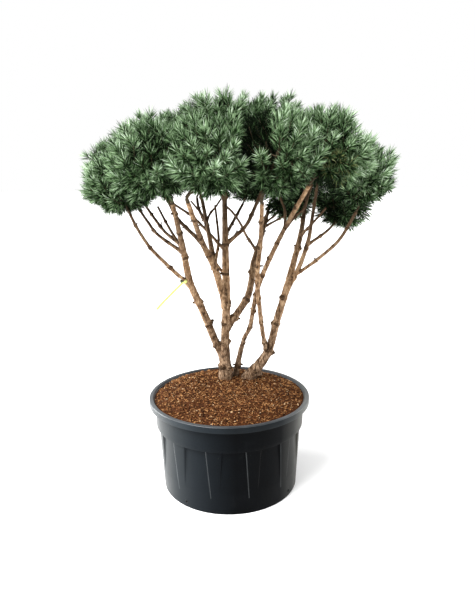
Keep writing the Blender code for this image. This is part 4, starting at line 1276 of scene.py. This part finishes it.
def needles_of(shoots, dice, patterns, inner):
    """All needles of some shoots, as points, and a colour for the foot and the point of each."""
    clouds, colours = [], []
    for foot, tip, valley in shoots:
        pattern, at = patterns[dice.integers(len(patterns))]
        turn = Vector((0, 0, 1)).rotation_difference((tip - foot).normalized())
        turn = turn @ Quaternion((0, 0, 1), dice.uniform(0, math.tau))
        matrix = np.array(turn.to_matrix()) * dice.uniform(0.90, 1.10)
        cloud = pattern @ matrix.T + np.array(foot)
        clouds.append(cloud)
        chance = np.repeat(dice.normal(0, 0.90, len(at) // BUNDLE_NEEDLES), BUNDLE_NEEDLES)
        run = cloud[:, 3] - cloud[:, 0]
        upward = run[:, 2] / np.linalg.norm(run, axis=1)
        tone = INNER_TONE if inner else shoot_tone(foot, tip, valley, dice)
        # Painted light and shade: bundles that point up are paler and those near the shoot's foot darker; the
        # chance is each bundle's own tone
        tones = tone + chance + upward * 0.45 + (at - 0.5) * 0.8
        tones = np.clip(np.floor(tones).astype(int), 0, PALEST)
        if not inner and is_in(tip, YELLOW_PLACES):
            tones = np.where(chance > 0.60, YELLOWISH, tones)
        # The foot of each needle is painted a step darker: painted shade of the brush
        feet = np.where(tones == YELLOWISH, 1, np.maximum(tones - 1, 0))
        colours.append(np.stack([feet, tones], axis=1))
    return np.concatenate(clouds), np.concatenate(colours)


def needle_faces(count):
    """The foot and the point of each needle, as faces of three corners."""
    start = np.arange(count)[:, None, None] * 4
    return (start + np.array([[[0, 1, 2], [2, 1, 3]]])).reshape(-1, 3)


# %% Needle pieces
NEEDLE_COLOURS = ((0.004, 0.009, 0.003), (0.027, 0.056, 0.019), (0.105, 0.188, 0.076), (0.280, 0.415, 0.222),
                  (0.560, 0.700, 0.510), (0.170, 0.190, 0.068))
DULL_COLOURS = 2
DULL_SHINE = 0.05
OUTER_PATTERNS = 8
INNER_PATTERNS = 3
needle_materials = [plain_material(f"needle_{number}", colour, 0.5)
                    for number, colour in enumerate(NEEDLE_COLOURS)]
for needle_material in needle_materials[:DULL_COLOURS]:
    fill_shader(needle_material, {"Specular IOR Level": DULL_SHINE})
needle_dice = np.random.default_rng(11)
outer_patterns = [shoot_pattern(needle_dice, OUTER_BUNDLES, SHOOT_LENGTH) for number in range(OUTER_PATTERNS)]
inner_patterns = [shoot_pattern(needle_dice, INNER_BUNDLES, INNER_LENGTH) for number in range(INNER_PATTERNS)]
for piece_name, members in GROUPS.items():
    outer = [shoot for member in members for shoot in grown[member][1]]
    inner = [shoot for member in members for shoot in grown[member][2]]
    brushes = [needles_of(outer, needle_dice, outer_patterns, False),
               needles_of(inner, needle_dice, inner_patterns, True)]
    cloud, face_colours = (np.concatenate(parts) for parts in zip(*brushes))
    mesh = mesh_from_arrays(piece_name, cloud.reshape(-1, 3), needle_faces(len(cloud)),
                            face_colours.ravel(), smooth=False)
    add_piece(piece_name, mesh, needle_materials, members)
    print(piece_name, "triangles", len(mesh.polygons))

# %% [markdown]
# ## The twigs
#
# The shoots sit on thin woody twigs. Each is a three-sided tapering stick, which is round enough at
# this thickness, and all of them are one piece.

# %% Twigs
TWIG_SIDES = 3
SHORTEST_TWIG = 0.002


def make_twigs(material):
    """The twigs of all masses in one mesh."""
    points, faces = [], []
    for twigs, _, _ in grown.values():
        for start, end, thick, thin in twigs:
            if (end - start).length > SHORTEST_TWIG:
                faces.append(ring_faces(3, TWIG_SIDES, len(points)))
                points += stick_points(start, end, thick, thin, TWIG_SIDES)
    mesh = mesh_from_arrays("twigs", [tuple(point) for point in points], np.concatenate(faces))
    return add_piece("twigs", mesh, [material])


TWIG_BROWNS = ((0.026, 0.019, 0.011), (0.100, 0.074, 0.044))
twig_piece = make_twigs(mottled_material("twig_bark", *TWIG_BROWNS, 0.85, 160.0, 0.0006))
print("twig triangles", len(twig_piece.data.polygons) * 2)

# %% [markdown]
# ## The label
#
# A yellow plastic strap is looped round the low left bough and sticks out stiffly, with a slight bow.
# A pale clasp and a small dark green block sit beside the loop. The strap is a thin ribbon, plain, with
# nothing written on it. The loop and the ribbon could be one bent strip; they are two runs of the same
# four-cornered section here, and so are the clasp and the block.

# %% Label
LABEL_ALONG_BOUGH = 0.060
LABEL_LOOP_RADIUS = 0.0118
LABEL_LOOP_STEPS = 28
LABEL_WIDTH = 0.0150
LABEL_THICKNESS = 0.0009
LABEL_TIP = Vector((-0.337, -0.072, 0.921))
LABEL_BOW = 0.0035
LABEL_STEPS = 16
RIBBON_SHARE = 0.8
# The pale clasp and the dark green block: how far along the bough from the loop, and size
CLASP_AND_BLOCK = ((0.029, Vector((0.015, 0.018, 0.012))), (0.015, Vector((0.010, 0.020, 0.012))))


def strip(places, outs, across, width, thickness):
    """Points of a strip with a four-cornered section. Its flat side looks along outs."""
    points = []
    for place, out in zip(places, outs):
        points += [place + across * (width / 2 * side) + out * (thickness / 2 * face)
                   for side, face in ((-1, -1), (1, -1), (1, 1), (-1, 1))]
    return points


def bar_faces(sections, first):
    """The faces of a four-cornered bar, closed at both ends."""
    ends = np.array([[3, 2, 1, 0], [0, 1, 2, 3]]) + np.array([[0], [(sections - 1) * 4]])
    return np.concatenate([ring_faces(sections, 4), ends]) + first


def make_label(materials):
    """The loop round the bough, the ribbon that leaves it, the pale clasp and the dark green block, in one
    mesh.
    """
    route = plans["bough_left_low"][0]
    lengths = lengths_along(route)
    row = int(np.searchsorted(lengths, LABEL_ALONG_BOUGH))
    middle = route[row]
    along = (route[row + 1] - route[row - 1]).normalized()
    away = LABEL_TIP - middle
    start_side = (away - along * away.dot(along)).normalized()
    turn_side = along.cross(start_side)
    turns = [math.tau * step / LABEL_LOOP_STEPS for step in range(LABEL_LOOP_STEPS + 1)]
    outs = [sideways((along, start_side, turn_side), turn) for turn in turns]
    loop = [middle + out * LABEL_LOOP_RADIUS for out in outs]
    points = strip(loop, outs, along, LABEL_WIDTH, LABEL_THICKNESS)
    start = middle + start_side * LABEL_LOOP_RADIUS
    run = LABEL_TIP - start
    flat = run.cross(along).normalized()
    across = flat.cross(run).normalized()
    places = [start + run * share + flat * LABEL_BOW * math.sin(math.pi * share)
              for share in np.linspace(0.0, 1.0, LABEL_STEPS)]
    points += strip(places, [flat] * LABEL_STEPS, across, LABEL_WIDTH * RIBBON_SHARE, LABEL_THICKNESS)
    faces = [ring_faces(LABEL_LOOP_STEPS + 1, 4), bar_faces(LABEL_STEPS, (LABEL_LOOP_STEPS + 1) * 4)]
    colours = [0] * sum(len(part) for part in faces)
    for number, (past, size) in enumerate(CLASP_AND_BLOCK):
        centre = middle + along * past + start_side * (LABEL_LOOP_RADIUS - 0.001)
        faces.append(bar_faces(2, len(points)))
        colours += [number + 1] * len(faces[-1])
        ends = [centre + start_side * (size.z / 2), centre - start_side * (size.z / 2)]
        points += strip(ends, [turn_side] * 2, along, size.x, size.y)
    mesh = mesh_from_arrays("label", [tuple(point) for point in points], np.concatenate(faces), colours,
                            smooth=False)
    return add_piece("label_strap", mesh, materials, ["label"])


LABEL_FINISHES = {"label_plastic": ((0.600, 0.660, 0.150), (0.720, 0.780, 0.260), 0.42),
                  "pale_clasp": ((0.700, 0.720, 0.700), (0.820, 0.830, 0.800), 0.5),
                  "dark_green_block": ((0.030, 0.060, 0.030), (0.060, 0.100, 0.050), 0.5)}
label = make_label([mottled_material(name, *finish, 60.0, 0.0003, 0.5)
                    for name, finish in LABEL_FINISHES.items()])
print("label points", len(label.data.vertices))
